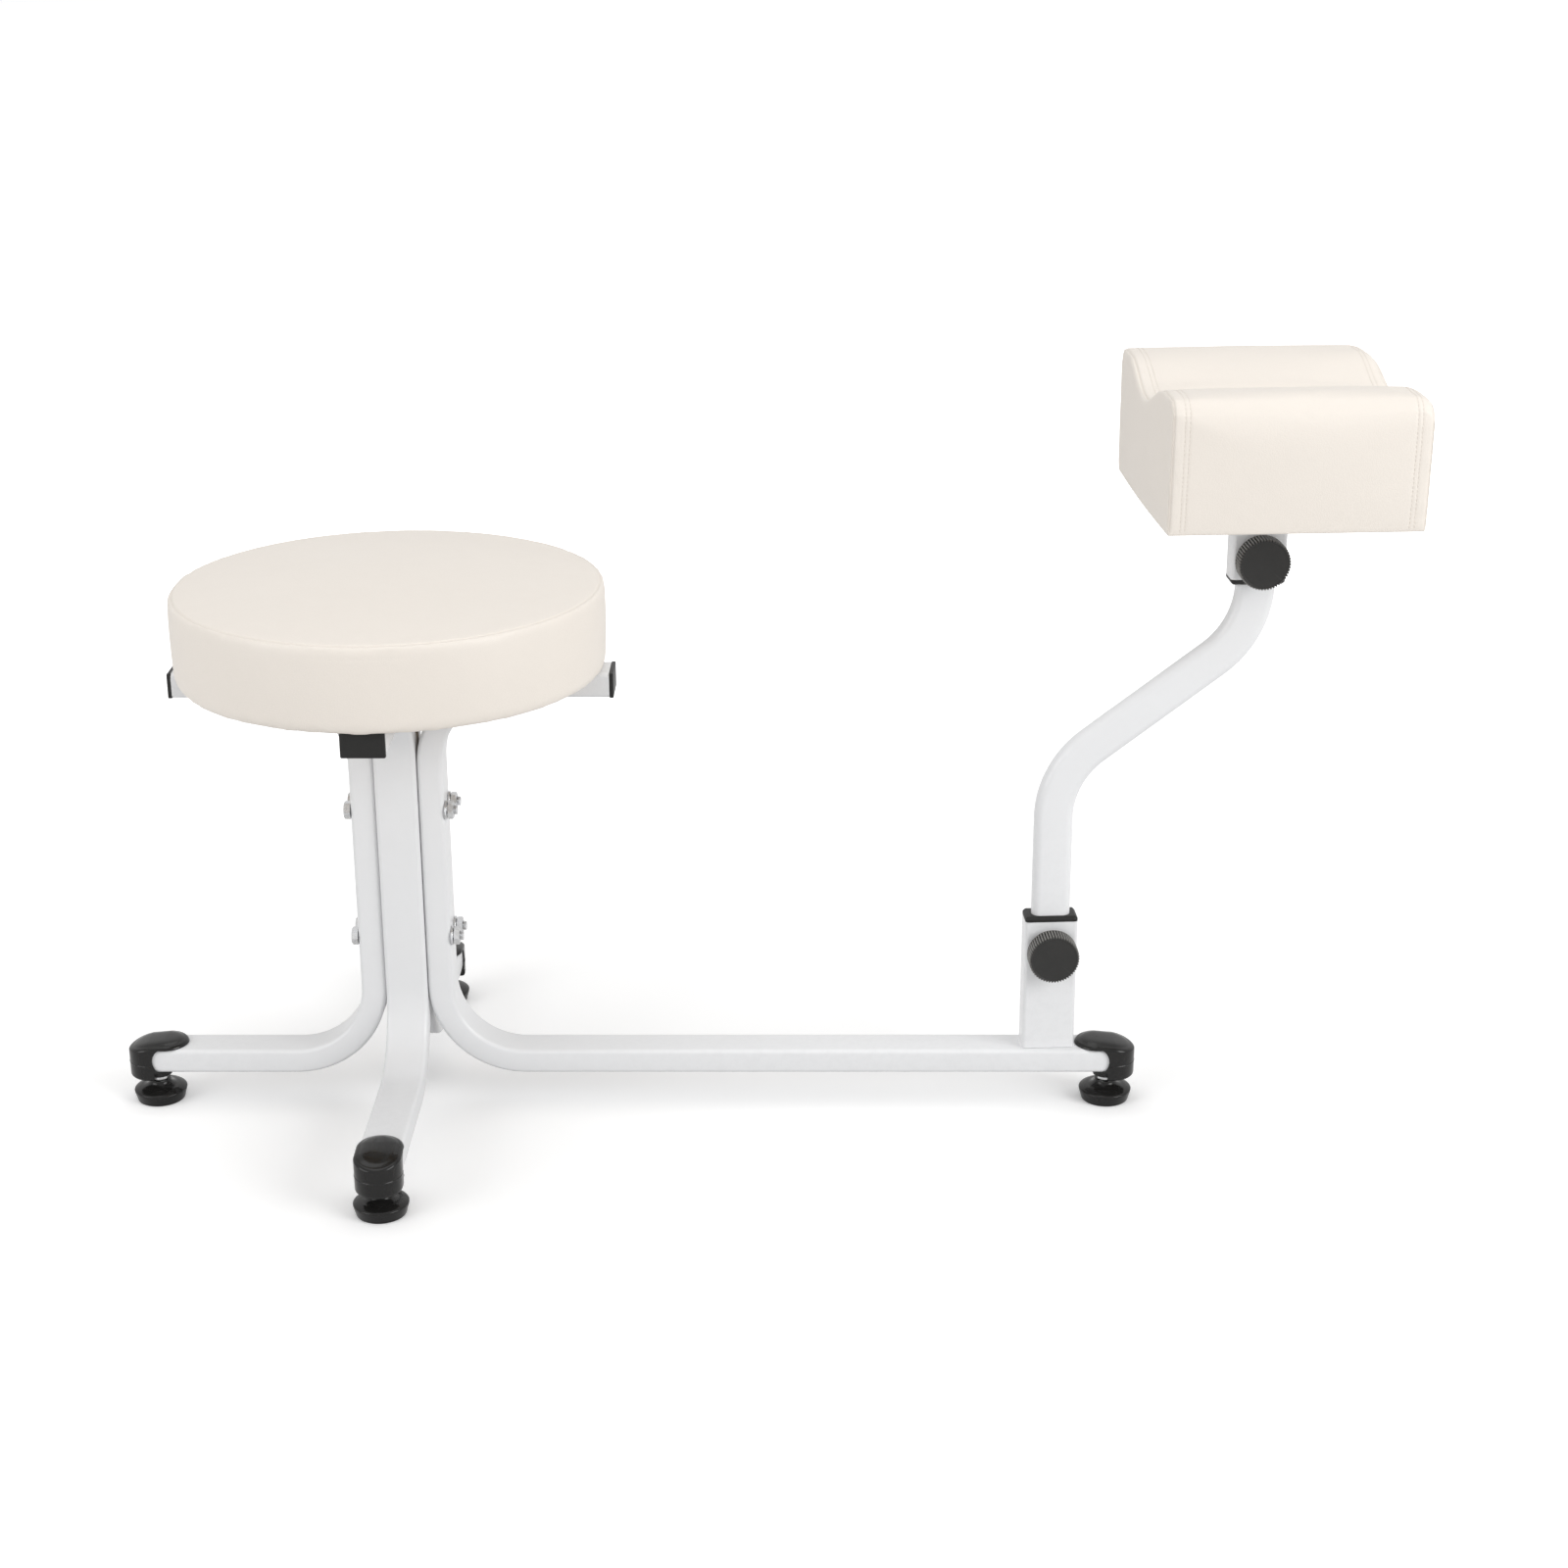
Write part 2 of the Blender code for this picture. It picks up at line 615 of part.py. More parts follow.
def foot_cap_cutters():
    """Bodies that open the cap: the tube's slot, the open mouth in its sides, and the space behind its lip."""
    far = CAP_LENGTH + OVERRUN
    low, high = LEG_UNDERSIDE - GAP, LEG_TOP + GAP
    slot, mouth, relief = bmesh.new(), bmesh.new(), bmesh.new()
    half = TUBE_WIDTH / 2 + GAP
    inner_end = TUBE_PAST_FOOT + GAP
    add_prism(slot, [(-far, -half), (inner_end, -half), (inner_end, half), (-far, half)], low, high)
    rise = (high - low) / 2
    radius = (rise**2 + CAP_MOUTH_DEPTH**2) / (2 * CAP_MOUTH_DEPTH)
    reach = math.atan2(rise, radius - CAP_MOUTH_DEPTH)
    centre = (CAP_MOUTH_APEX - radius, (low + high) / 2)
    arc = circle_points(radius, CAP_MOUTH_STEPS, -reach, 2 * reach, centre)
    outline = [(-far, low), *arc, (-far, high)]
    base = [mouth.verts.new((x, -CAP_WIDTH, z)) for x, z in outline]
    grown = bmesh.ops.extrude_face_region(mouth, geom=[mouth.faces.new(base)])
    raised = [item for item in grown["geom"] if isinstance(item, bmesh.types.BMVert)]
    bmesh.ops.translate(mouth, verts=raised, vec=(0.0, 2 * CAP_WIDTH, 0.0))
    lip = circle_points(CAP_LIP_RADIUS, CAP_STEPS, -math.pi / 2, -math.pi)
    behind = [(-far, -CAP_WIDTH), (0.0, -CAP_WIDTH), *lip, (0.0, CAP_WIDTH), (-far, CAP_WIDTH)]
    add_prism(relief, behind, -OVERRUN, LEG_UNDERSIDE)
    stud = bmesh.new()
    add_rod(stud, STUD_HOLE_RADIUS, BOLT_SIDES, (0.0, 0.0, -OVERRUN), (0.0, 0.0, LEG_UNDERSIDE))
    return (("cap_slot", slot), ("cap_mouth", mouth), ("cap_relief", relief), ("cap_stud_hole", stud))


def make_foot_caps(column):
    """Black caps over the ends of the legs."""
    for side, turn, offset, foot_reach in SIDES:
        spot = side_point(column, turn, offset + foot_reach)
        cap = place(f"foot_cap_{side}", foot_cap_mesh(), BLACK_PLASTIC, spot, turn)
        for name, shape in foot_cap_cutters():
            cut(cap, cutter(f"{name}_{side}", shape, None, spot, turn))


def foot_mesh():
    """Levelling foot: a sole, a rim, a hollow flank up to the neck, and a blind hole for the stud."""
    hip_radius = FOOT_RADIUS - FOOT_HIP_INSET
    hip_height = FOOT_RIM_HEIGHT + FOOT_EDGE + FOOT_HIP_RISE
    flank = []
    for step in range(FOOT_FLANK_STEPS + 1):
        turn = math.pi / 2 * step / FOOT_FLANK_STEPS
        radius = hip_radius + (FOOT_NECK_RADIUS - hip_radius) * math.sin(turn)
        flank.append((radius, hip_height + (FOOT_HEIGHT - hip_height) * (1 - math.cos(turn))))
    profile = [
        (0.0, 0.0),
        (FOOT_RADIUS - FOOT_SOLE_INSET, 0.0),
        (FOOT_RADIUS - FOOT_SOLE_INSET + FOOT_EDGE, FOOT_EDGE),
        (FOOT_RADIUS, FOOT_RIM_HEIGHT),
        (FOOT_RADIUS - FOOT_EDGE, FOOT_RIM_HEIGHT + FOOT_EDGE),
        *flank,
        (STUD_HOLE_RADIUS, FOOT_HEIGHT),
        (STUD_HOLE_RADIUS, STUD_HOLE_FLOOR),
        (0.0, STUD_HOLE_FLOOR),
    ]
    return turned("levelling_foot", profile, FOOT_STEPS)


def make_levelling_feet(column):
    """Levelling feet on threaded studs, which turn about their own upright axes."""
    sole = foot_mesh()
    for side, turn, offset, foot_reach in SIDES:
        spot = side_point(column, turn, offset + foot_reach)
        place(f"levelling_foot_{side}", sole.copy(), BLACK_PLASTIC, spot)
        shape = bmesh.new()
        tip = LEG_TOP - TUBE_WALL - STUD_TOP_CLEARANCE
        root = STUD_HOLE_FLOOR + GAP
        add_rod(shape, STUD_RADIUS, BOLT_SIDES, (0.0, 0.0, root), (0.0, 0.0, tip))
        place(f"foot_stud_{side}", finish_mesh(shape, "foot_stud", smooth=True), ZINC, spot)


def make_lock_nuts(column):
    """Thin nuts on the levelling studs, tight under the caps."""
    mesh = nut_mesh("foot_lock_nut", STUD_HOLE_RADIUS, 0.0, LOCK_NUT_HEIGHT)
    for side, turn, offset, foot_reach in SIDES:
        spot = side_point(column, turn, offset + foot_reach, LOCK_NUT_BOTTOM)
        place(f"foot_lock_nut_{side}", mesh.copy(), ZINC, spot, turn)


def screw_mesh(name, head_height, length):
    """Pan head screw whose shank starts at z = 0 and points up."""
    head = circle_points(SCREW_HEAD_RADIUS, BOLT_SIDES)
    return bolt_mesh(name, head, SCREW_RADIUS, -head_height, 0.0, length)


def make_seat_screws(column):
    """Screws up through the seat arms into the board."""
    head_seat = SEAT_UNDERSIDE - TUBE_THICKNESS - GAP
    length = BOARD_BOTTOM + BOARD_THICKNESS - SCREW_TIP_CLEARANCE - head_seat
    mesh = screw_mesh("seat_screw", SCREW_HEAD_HEIGHT, length)
    for side, turn, _, _ in SIDES:
        spot = side_point(column, turn, SEAT_SCREW_REACH, head_seat)
        place(f"seat_screw_{side}", mesh.copy(), ZINC, spot, turn)


def seat_screw_holes(column):
    """The holes for the seat screws in the board."""
    shape = bmesh.new()
    for _, turn, _, _ in SIDES:
        x, y, _ = side_point(column, turn, SEAT_SCREW_REACH)
        low = (x, y, BOARD_BOTTOM - OVERRUN)
        high = (x, y, BOARD_BOTTOM + BOARD_THICKNESS + OVERRUN)
        add_rod(shape, SCREW_HOLE_RADIUS, BOLT_SIDES, low, high)
    return cutter("seat_board_holes", shape)


def seat_profile():
    """Half outline of the seat cushion: board recess, hem, side, sewn edge and crown."""
    board_edge = BOARD_RADIUS + GAP
    board_top = BOARD_THICKNESS + GAP
    hem_centre = (SEAT_BASE_RADIUS - SEAT_HEM_RADIUS, SEAT_HEM_RADIUS)
    hem = circle_points(SEAT_HEM_RADIUS, CORNER_STEPS, -math.pi / 2, math.pi / 2, hem_centre)
    side = []
    side_height = SEAT_EDGE_HEIGHT - WELT_RADIUS - SEAT_HEM_RADIUS
    for step in range(1, SEAT_SIDE_STEPS):
        share = step / SEAT_SIDE_STEPS
        flare = (SEAT_RADIUS - SEAT_BASE_RADIUS) * share + SEAT_BULGE * math.sin(share * math.pi)
        side.append((SEAT_BASE_RADIUS + flare, SEAT_HEM_RADIUS + side_height * share))
    welt_centre = (SEAT_RADIUS - WELT_RADIUS, SEAT_EDGE_HEIGHT)
    welt = circle_points(WELT_RADIUS, 3, -math.pi / 2, math.pi, welt_centre)
    crown = []
    for step in range(SEAT_CROWN_STEPS + 1):
        share = 1 - step / SEAT_CROWN_STEPS
        reach = (SEAT_RADIUS - 2 * WELT_RADIUS) * share
        crown.append((reach, SEAT_EDGE_HEIGHT + SEAT_CROWN * (1 - share**4)))
    return [(0.0, board_top), (board_edge, board_top), (board_edge, 0.0), *hem, *side, *welt, *crown]


def make_seat(column):
    """Round plywood board and its upholstered cushion."""
    rim = circle_points(BOARD_RADIUS, SEAT_STEPS)
    shape = bmesh.new()
    add_prism(shape, rim, 0.0, BOARD_THICKNESS)
    board = place("seat_board", finish_mesh(shape, "seat_board"), PLYWOOD, (column, 0.0, BOARD_BOTTOM))
    cut(board, seat_screw_holes(column))
    cushion = turned("seat_cushion", seat_profile(), SEAT_STEPS)
    place("seat_cushion", cushion, IVORY_VINYL, (column, 0.0, BOARD_BOTTOM))


def socket_outline(inset, corner, steps):
    """Outline of the rectangular socket tube, moved in by an inset."""
    return rounded_rectangle(SOCKET_WIDTH - 2 * inset, SOCKET_DEPTH - 2 * inset, corner, steps)


def pipe_outline(inset):
    """Outline of the cranked tube's section, moved in by an inset."""
    width = PIPE_WIDTH - 2 * inset
    depth = PIPE_THICKNESS - 2 * inset
    return rounded_rectangle(width, depth, PIPE_CORNER - inset, PIPE_CORNER_STEPS)


def socket_mesh(name, low, high):
    """Rectangular tube that stands upright."""
    shape = bmesh.new()
    outer = socket_outline(0.0, SOCKET_CORNER, CORNER_STEPS)
    inner = socket_outline(SOCKET_WALL, SOCKET_BORE_CORNER, CORNER_STEPS)
    add_ring(shape, outer, inner, low, high)
    return finish_mesh(shape, name, smooth=True)


def stud_hole_cutter(name, height, parent):
    """Hole for a clamp stud from the front of a socket into its bore."""
    shape = bmesh.new()
    front = (0.0, -SOCKET_DEPTH / 2 - OVERRUN, height)
    add_rod(shape, STUD_HOLE_RADIUS, BOLT_SIDES, front, (0.0, 0.0, height))
    return cutter(name, shape, parent)


def bushing_mesh(name, seat, upward):
    """Plastic bushing: a chamfered flange on the socket's mouth and a sleeve in its bore."""
    shape = bmesh.new()
    flange = socket_outline(0.0, SOCKET_CORNER, PIPE_CORNER_STEPS)
    nose = socket_outline(BUSHING_CHAMFER, SOCKET_CORNER, PIPE_CORNER_STEPS)
    sleeve = socket_outline(SOCKET_WALL + GAP, SOCKET_BORE_CORNER, PIPE_CORNER_STEPS)
    bore = pipe_outline(-BUSHING_CLEARANCE)
    edge = BUSHING_FLANGE - BUSHING_CHAMFER
    rings = (
        (sleeve, -BUSHING_SLEEVE),
        (sleeve, 0.0),
        (flange, 0.0),
        (flange, edge),
        (nose, BUSHING_FLANGE),
        (bore, BUSHING_FLANGE),
        (bore, -BUSHING_SLEEVE),
    )
    loops = []
    for outline, height in rings:
        loops.append([shape.verts.new((x, y, seat + upward * height)) for x, y in outline])
    bridge(shape, loops, closed=True)
    return finish_mesh(shape, name, smooth=True)


def weld_nut(name, socket, height, axis):
    """Nut welded on the front of a socket, which the clamp stud screws through."""
    shape = bmesh.new()
    add_prism(shape, hexagon(), -SOCKET_WALL / 2, WELD_NUT_HEIGHT)
    spot = (0.0, -SOCKET_DEPTH / 2, height)
    helper = cutter(name, shape, axis, spot)
    helper.rotation_euler = (*TOWARDS_FRONT, 0.0)
    join(socket, helper)


def make_post(axis):
    """Socket post on the long leg, with its bushing and the nut for the clamp knob."""
    post = place("socket_post", socket_mesh("socket_post", POST_BOTTOM, POST_TOP), WHITE_PAINT)
    post.parent = axis
    bushing = place("post_bushing", bushing_mesh("post_bushing", POST_TOP + GAP, 1), BLACK_PLASTIC)
    bushing.parent = axis
    weld_nut("post_weld_nut", post, POST_STUD_HEIGHT, axis)
    hole = stud_hole_cutter("post_stud_hole", POST_STUD_HEIGHT, axis)
    cut(post, hole)
    cut(bushing, hole)


def pipe_path():
    """Middle line of the cranked tube as (outward, height, tilt), foot to head."""
    path = [(0.0, PIPE_FOOT, 0.0)]
    for step in range(BEND_STEPS + 1):
        lean = PIPE_LEAN * step / BEND_STEPS
        run = PIPE_BEND_RADIUS * (1 - math.cos(lean))
        path.append((run, PIPE_BEND_START + PIPE_BEND_RADIUS * math.sin(lean), lean))
    for step in range(BEND_STEPS + 1):
        lean = PIPE_LEAN * (1 - step / BEND_STEPS)
        run = PIPE_BEND_RADIUS * (1 - math.cos(lean))
        path.append((PIPE_OFFSET - run, CRANK_TOP - PIPE_BEND_RADIUS * math.sin(lean), lean))
    path.append((PIPE_OFFSET, PIPE_HEAD, 0.0))
    return path


def make_pipe(axis):
    """Flat oval tube bent twice, whose ends stand upright in the two sockets."""
    shape = bmesh.new()
    outlines = (pipe_outline(0.0), pipe_outline(PIPE_WALL))
    walls = ([], [])
    for run, height, lean in pipe_path():
        for wall, outline in zip(walls, outlines):
            ring = []
            for across, side in outline:
                point = (run + across * math.cos(lean), side, height - across * math.sin(lean))
                ring.append(shape.verts.new(point))
            wall.append(ring)
    skin, bore = walls
    bridge(shape, skin + bore[::-1], closed=True)
    place("cranked_tube", finish_mesh(shape, "cranked_tube", smooth=True), WHITE_PAINT, parent=axis)


def pipe_plug_mesh(name, end, outward):
    """Plug in an end of the cranked tube; outward is 1 at the head and -1 at the foot."""
    insert = pipe_outline(PIPE_WALL + GAP)
    head = pipe_outline(0.0)
    top = GAP + PIPE_PLUG_HEAD
    rings = (
        (insert, -PIPE_PLUG_DEPTH),
        (insert, GAP),
        (head, GAP),
        (head, top - PIPE_PLUG_BEVEL),
        (pipe_outline(PIPE_PLUG_BEVEL), top),
    )
    shape = bmesh.new()
    loops = []
    for outline, past in rings:
        loops.append([shape.verts.new((x, y, end + outward * past)) for x, y in outline])
    bridge(shape, loops)
    shape.faces.new(loops[0])
    shape.faces.new(loops[-1])
    return finish_mesh(shape, name, smooth=True)


def knob_mesh(name):
    """Fluted knob about the Y axis: its back at y = 0, its face towards -Y with a ring near the edge."""
    points = 2 * KNOB_FLUTES
    shape = bmesh.new()

    def fluted(radius, depth):
        ring = []
        for point in range(points):
            reach = radius - (KNOB_FLUTE_DEPTH if point % 2 else 0.0)
            angle = 2 * math.pi * point / points
            ring.append(shape.verts.new((reach * math.cos(angle), -depth, reach * math.sin(angle))))
        return ring

    def plain(radius, depth, sides):
        spots = circle_points(radius, sides)
        return [shape.verts.new((x, -depth, z)) for x, z in spots]

    inside = KNOB_RADIUS - KNOB_FLUTE_DEPTH
    back = fluted(KNOB_RADIUS, 0.0)
    rings = [
        back,
        fluted(KNOB_RADIUS, KNOB_DEPTH - KNOB_EDGE),
        plain(inside - KNOB_EDGE, KNOB_DEPTH, points),
        plain(inside - KNOB_RING, KNOB_DEPTH, points),
    ]
    bridge(shape, rings)
    face = plain(inside - KNOB_RING - KNOB_DISH, KNOB_DEPTH - KNOB_DISH, points)
    bridge(shape, [rings[-1], face])
    shape.faces.new(face)
    shape.faces.new(back)
    return finish_mesh(shape, name, smooth=True)


def make_clamp(name, axis, height):
    """Clamp knob with its threaded stud, on the front of a socket."""
    shape = bmesh.new()
    tip = (0.0, -PIPE_THICKNESS / 2 - GAP, height)
    rear = (0.0, -KNOB_BACK - KNOB_SOCKET + GAP, height)
    add_rod(shape, STUD_RADIUS, BOLT_SIDES, rear, tip)
    place(f"{name}_stud", finish_mesh(shape, f"{name}_stud", smooth=True), ZINC, parent=axis)
    spot = (0.0, -KNOB_BACK, height)
    knob = place(name, knob_mesh(name), BLACK_GRIP, spot, parent=axis)
    hole = bmesh.new()
    add_rod(hole, STUD_HOLE_RADIUS, BOLT_SIDES, (0.0, OVERRUN, 0.0), (0.0, -KNOB_SOCKET, 0.0))
    cut(knob, cutter(f"{name}_hole", hole, axis, spot))


def pad_section(side_inset, top_inset):
    """Outline of the footrest cushion across its length, as (across, height), bottom left first."""
    half = PAD_DEPTH / 2 - side_inset
    top = PAD_HEIGHT - top_inset
    wall_top = top - PAD_EDGE_TOP
    right = [(half - PAD_DRAW_IN, 0.0)]
    for step in range(1, PAD_SIDE_STEPS + 1):
        share = step / PAD_SIDE_STEPS
        draw = PAD_DRAW_IN * (1 - share) ** 2
        swell = PAD_BULGE * math.sin(share * math.pi)
        right.append((half - draw + swell, wall_top * share))
    corner = circle_points(
        PAD_EDGE_TOP, PAD_EDGE_STEPS, 0.0, math.pi / 2, (half - PAD_EDGE_TOP, wall_top)
    )
    right += corner[1:]
    trough = []
    for step in range(PAD_TROUGH_STEPS + 1):
        across = PAD_TROUGH_HALF_WIDTH * (1 - 2 * step / PAD_TROUGH_STEPS)
        dip = PAD_TROUGH / 2 * (1 + math.cos(math.pi * across / PAD_TROUGH_HALF_WIDTH))
        trough.append((across, top - dip))
    left = [(-across, height) for across, height in reversed(right)]
    return right + trough + left


def pad_stations():
    """Places along the cushion's length with the share of the end rounding at each."""
    ends = []
    for step in range(PAD_EDGE_STEPS + 1):
        turn = math.pi / 2 * step / PAD_EDGE_STEPS
        ends.append((PAD_EDGE_LENGTH * (1 - math.sin(turn)), 1 - math.cos(turn)))
    low = [(-PAD_LENGTH / 2 + inward, share) for inward, share in reversed(ends)]
    high = [(PAD_LENGTH / 2 - inward, share) for inward, share in ends]
    return low + high


def pad_rings():
    """The cushion's skin as rings of points about its own middle, standing on z = 0."""
    rings = []
    for along, share in pad_stations():
        outline = pad_section(PAD_EDGE_SIDE * share, PAD_EDGE_TOP * share)
        rings.append([(along, across, height) for across, height in outline])
    return rings


def pad_reach_x():
    """How far the turned cushion reaches along +X from the upright axis that it turns on."""
    return max(
        (x + PAD_SHIFT) * math.cos(ARM_TURN) - y * math.sin(ARM_TURN)
        for ring in pad_rings()
        for x, y, _ in ring
    )


def make_pad_cushion(axis):
    """Footrest cushion with its trough, over a recess for the board."""
    shape = bmesh.new()
    loops = [[shape.verts.new(point) for point in ring] for ring in pad_rings()]
    bridge(shape, loops)
    shape.faces.new(loops[0])
    shape.faces.new(loops[-1])
    spot = (PAD_SHIFT, 0.0, PAD_BOTTOM)
    mesh = finish_mesh(shape, "pad_cushion", smooth=True)
    cushion = place("pad_cushion", mesh, IVORY_VINYL, spot, parent=axis)
    recess = bmesh.new()
    length, depth = pad_board_size()
    outline = rounded_rectangle(length + 2 * GAP, depth + 2 * GAP, PAD_BOARD_CORNER, CORNER_STEPS)
    add_prism(recess, outline, -OVERRUN, PAD_BOARD_THICKNESS + GAP)
    cut(cushion, cutter("pad_recess", recess, axis, spot))


def pad_board_size():
    """Length and depth of the board inside the footrest cushion."""
    return PAD_LENGTH - 2 * PAD_BOARD_INSET, PAD_DEPTH - 2 * PAD_BOARD_INSET


def plate_screw_spots():
    """Places of the four screws at the plate's corners."""
    reach = PLATE_SIDE / 2 - PLATE_SCREW_INSET
    return [(x * reach, y * reach) for x in (-1, 1) for y in (-1, 1)]


def plate_screw_holes(axis):
    """The holes for the plate screws, through the plate and into the board."""
    shape = bmesh.new()
    top = PAD_BOTTOM + PAD_BOARD_THICKNESS + OVERRUN
    for x, y in plate_screw_spots():
        low = (x, y, PLATE_BOTTOM - OVERRUN)
        add_rod(shape, SCREW_HOLE_RADIUS, BOLT_SIDES, low, (x, y, top))
    return cutter("pad_screw_holes", shape, axis)


def make_pad_base(axis):
    """Plate welded on the cushion socket, the plywood board, and the screws between them."""
    holes = plate_screw_holes(axis)
    shape = bmesh.new()
    outline = rounded_rectangle(PLATE_SIDE, PLATE_SIDE, PLATE_CORNER, CORNER_STEPS)
    add_prism(shape, outline, PLATE_BOTTOM, PLATE_BOTTOM + PLATE_THICKNESS)
    plate = place("pad_plate", finish_mesh(shape, "pad_plate"), WHITE_PAINT, parent=axis)
    cut(plate, holes)
    shape = bmesh.new()
    outline = rounded_rectangle(*pad_board_size(), PAD_BOARD_CORNER, CORNER_STEPS)
    add_prism(shape, outline, 0.0, PAD_BOARD_THICKNESS)
    spot = (PAD_SHIFT, 0.0, PAD_BOTTOM)
    board = place("pad_board", finish_mesh(shape, "pad_board"), PLYWOOD, spot, parent=axis)
    cut(board, holes)
    head_seat = PLATE_BOTTOM - GAP
    length = PAD_BOTTOM + PAD_BOARD_THICKNESS - SCREW_TIP_CLEARANCE - head_seat
    mesh = screw_mesh("pad_screw", PAD_SCREW_HEAD_HEIGHT, length)
    for number, (x, y) in enumerate(plate_screw_spots(), start=1):
        place(f"pad_screw_{number}", mesh.copy(), ZINC, (x, y, head_seat), parent=axis)


def make_pad_socket(axis):
    """Rectangular socket over the tube's head, with its bushing and weld nut."""
    mesh = socket_mesh("pad_socket", UPPER_SOCKET_BOTTOM, UPPER_SOCKET_TOP)
    socket = place("pad_socket", mesh, WHITE_PAINT, parent=axis)
    mesh = bushing_mesh("pad_bushing", UPPER_SOCKET_BOTTOM - GAP, -1)
    bushing = place("pad_bushing", mesh, BLACK_PLASTIC, parent=axis)
    weld_nut("pad_weld_nut", socket, UPPER_STUD_HEIGHT, axis)
    hole = stud_hole_cutter("pad_stud_hole", UPPER_STUD_HEIGHT, axis)
    cut(socket, hole)
    cut(bushing, hole)


def make_footrest(column):
    """Socket post, cranked tube, clamp knobs and cushion, which all stand turned by the same angle."""
    post = column + SOCKET_REACH
    head = (post + PIPE_OFFSET * math.cos(ARM_TURN), PIPE_OFFSET * math.sin(ARM_TURN), 0.0)
    arm_axis = empty("arm_axis", (post, 0.0, 0.0), ARM_TURN)
    pad_axis = empty("pad_axis", head, ARM_TURN)
    make_post(arm_axis)
    make_pipe(arm_axis)
    mesh = pipe_plug_mesh("tube_foot_plug", PIPE_FOOT, -1)
    place("tube_foot_plug", mesh, BLACK_PLASTIC, parent=arm_axis)
    make_clamp("lower_knob", arm_axis, POST_STUD_HEIGHT)
    mesh = pipe_plug_mesh("tube_head_plug", PIPE_HEAD, 1)
    place("tube_head_plug", mesh, BLACK_PLASTIC, parent=pad_axis)
    make_pad_socket(pad_axis)
    make_clamp("upper_knob", pad_axis, UPPER_STUD_HEIGHT)
    make_pad_base(pad_axis)
    make_pad_cushion(pad_axis)


def main():
    """Build the stool about a column placed so that the part's box is centred on the origin."""
    clear_scene()
    left_end = COLUMN_OFFSET_X + SHORT_FOOT_REACH + CAP_PAST_FOOT
    right_end = SOCKET_REACH + PIPE_OFFSET * math.cos(ARM_TURN) + pad_reach_x()
    column = (left_end - right_end) / 2
    make_frame(column)
    make_frame_bolts(column)
    make_arm_plugs(column)
    make_foot_caps(column)
    make_levelling_feet(column)
    make_lock_nuts(column)
    make_seat(column)
    make_seat_screws(column)
    make_footrest(column)
    print("column axis at x =", round(column, 5))


if __name__ == "__main__":
    main()
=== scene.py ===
"""Pedicure stool with a footrest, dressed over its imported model.

Metres, +Z up. The long leg runs along +X, and the clamp knobs face -Y.
"""

import json
import logging
import math
from dataclasses import dataclass
from enum import Enum
from typing import Callable, Iterable, Sequence

import bmesh
import bpy
from mathutils import Matrix, Vector, noise
from mathutils.bvhtree import BVHTree


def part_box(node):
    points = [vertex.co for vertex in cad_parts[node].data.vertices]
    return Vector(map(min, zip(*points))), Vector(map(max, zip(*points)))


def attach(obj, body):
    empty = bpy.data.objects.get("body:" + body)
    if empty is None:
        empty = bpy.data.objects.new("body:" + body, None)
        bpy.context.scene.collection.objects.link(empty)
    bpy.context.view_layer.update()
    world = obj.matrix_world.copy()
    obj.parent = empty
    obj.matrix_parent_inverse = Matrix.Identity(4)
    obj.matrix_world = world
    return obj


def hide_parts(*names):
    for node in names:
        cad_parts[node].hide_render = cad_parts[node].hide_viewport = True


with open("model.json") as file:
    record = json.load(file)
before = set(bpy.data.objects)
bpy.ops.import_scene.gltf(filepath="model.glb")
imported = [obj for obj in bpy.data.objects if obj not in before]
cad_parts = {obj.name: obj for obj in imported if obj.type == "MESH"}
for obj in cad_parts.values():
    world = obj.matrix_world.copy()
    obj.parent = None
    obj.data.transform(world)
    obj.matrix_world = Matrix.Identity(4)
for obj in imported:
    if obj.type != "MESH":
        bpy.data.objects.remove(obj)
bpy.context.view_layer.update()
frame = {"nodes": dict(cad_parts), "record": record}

LOG = logging.getLogger("stool")
GAP = 0.0003
MERGE = 0.00001
TUBE_WIDTH = 0.034
STUD_HOLE = 0.0043
# How far a cutting tool reaches past what it cuts
OVER = 0.02
TO_RIGHT, TO_LEFT = (Matrix.Rotation(turn, 4, "Y") for turn in (math.pi / 2, -math.pi / 2))
TO_FRONT, TO_REAR = (Matrix.Rotation(turn, 4, "X") for turn in (math.pi / 2, -math.pi / 2))
WHITE, BLACK = (1.0, 1.0, 1.0), (0.0, 0.0, 0.0)
FLOAT, COLOUR, VECTOR = "NodeSocketFloat", "NodeSocketColor", "NodeSocketVector"
Colour = tuple[float, float, float]
Profile = Sequence[tuple[float, float, float]]
Predicate = Callable[[Vector], bool]
Piece = bpy.types.Object
Face = bmesh.types.BMFace
Edge = bmesh.types.BMEdge
Node = bpy.types.Node
Socket = bpy.types.NodeSocket
Sockets = bpy.types.bpy_prop_collection


def at(spot: Sequence[float]) -> Matrix:
    """Frame at a point."""
    return Matrix.Translation(spot)


def hump(away: float, width: float) -> float:
    """Bell curve: 1 at its middle, and falling off over a width."""
    return math.exp(-((away / width) ** 2))


def across_rear(spot: Vector) -> float:
    """Distance of a point from the plane of the seat's rear seam, along the seat's rim."""
    turn = math.remainder(math.atan2(spot.y, spot.x) - math.pi / 2, 2 * math.pi)
    return abs(turn) * math.hypot(spot.x, spot.y)


def column_x() -> float:
    """X of the column's middle, where the four frame tubes meet."""
    low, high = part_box("frame_tube_front")
    return (low.x + high.x) / 2


def middle(node: str) -> Vector:
    """Middle of a node's box."""
    low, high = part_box(node)
    return (low + high) / 2


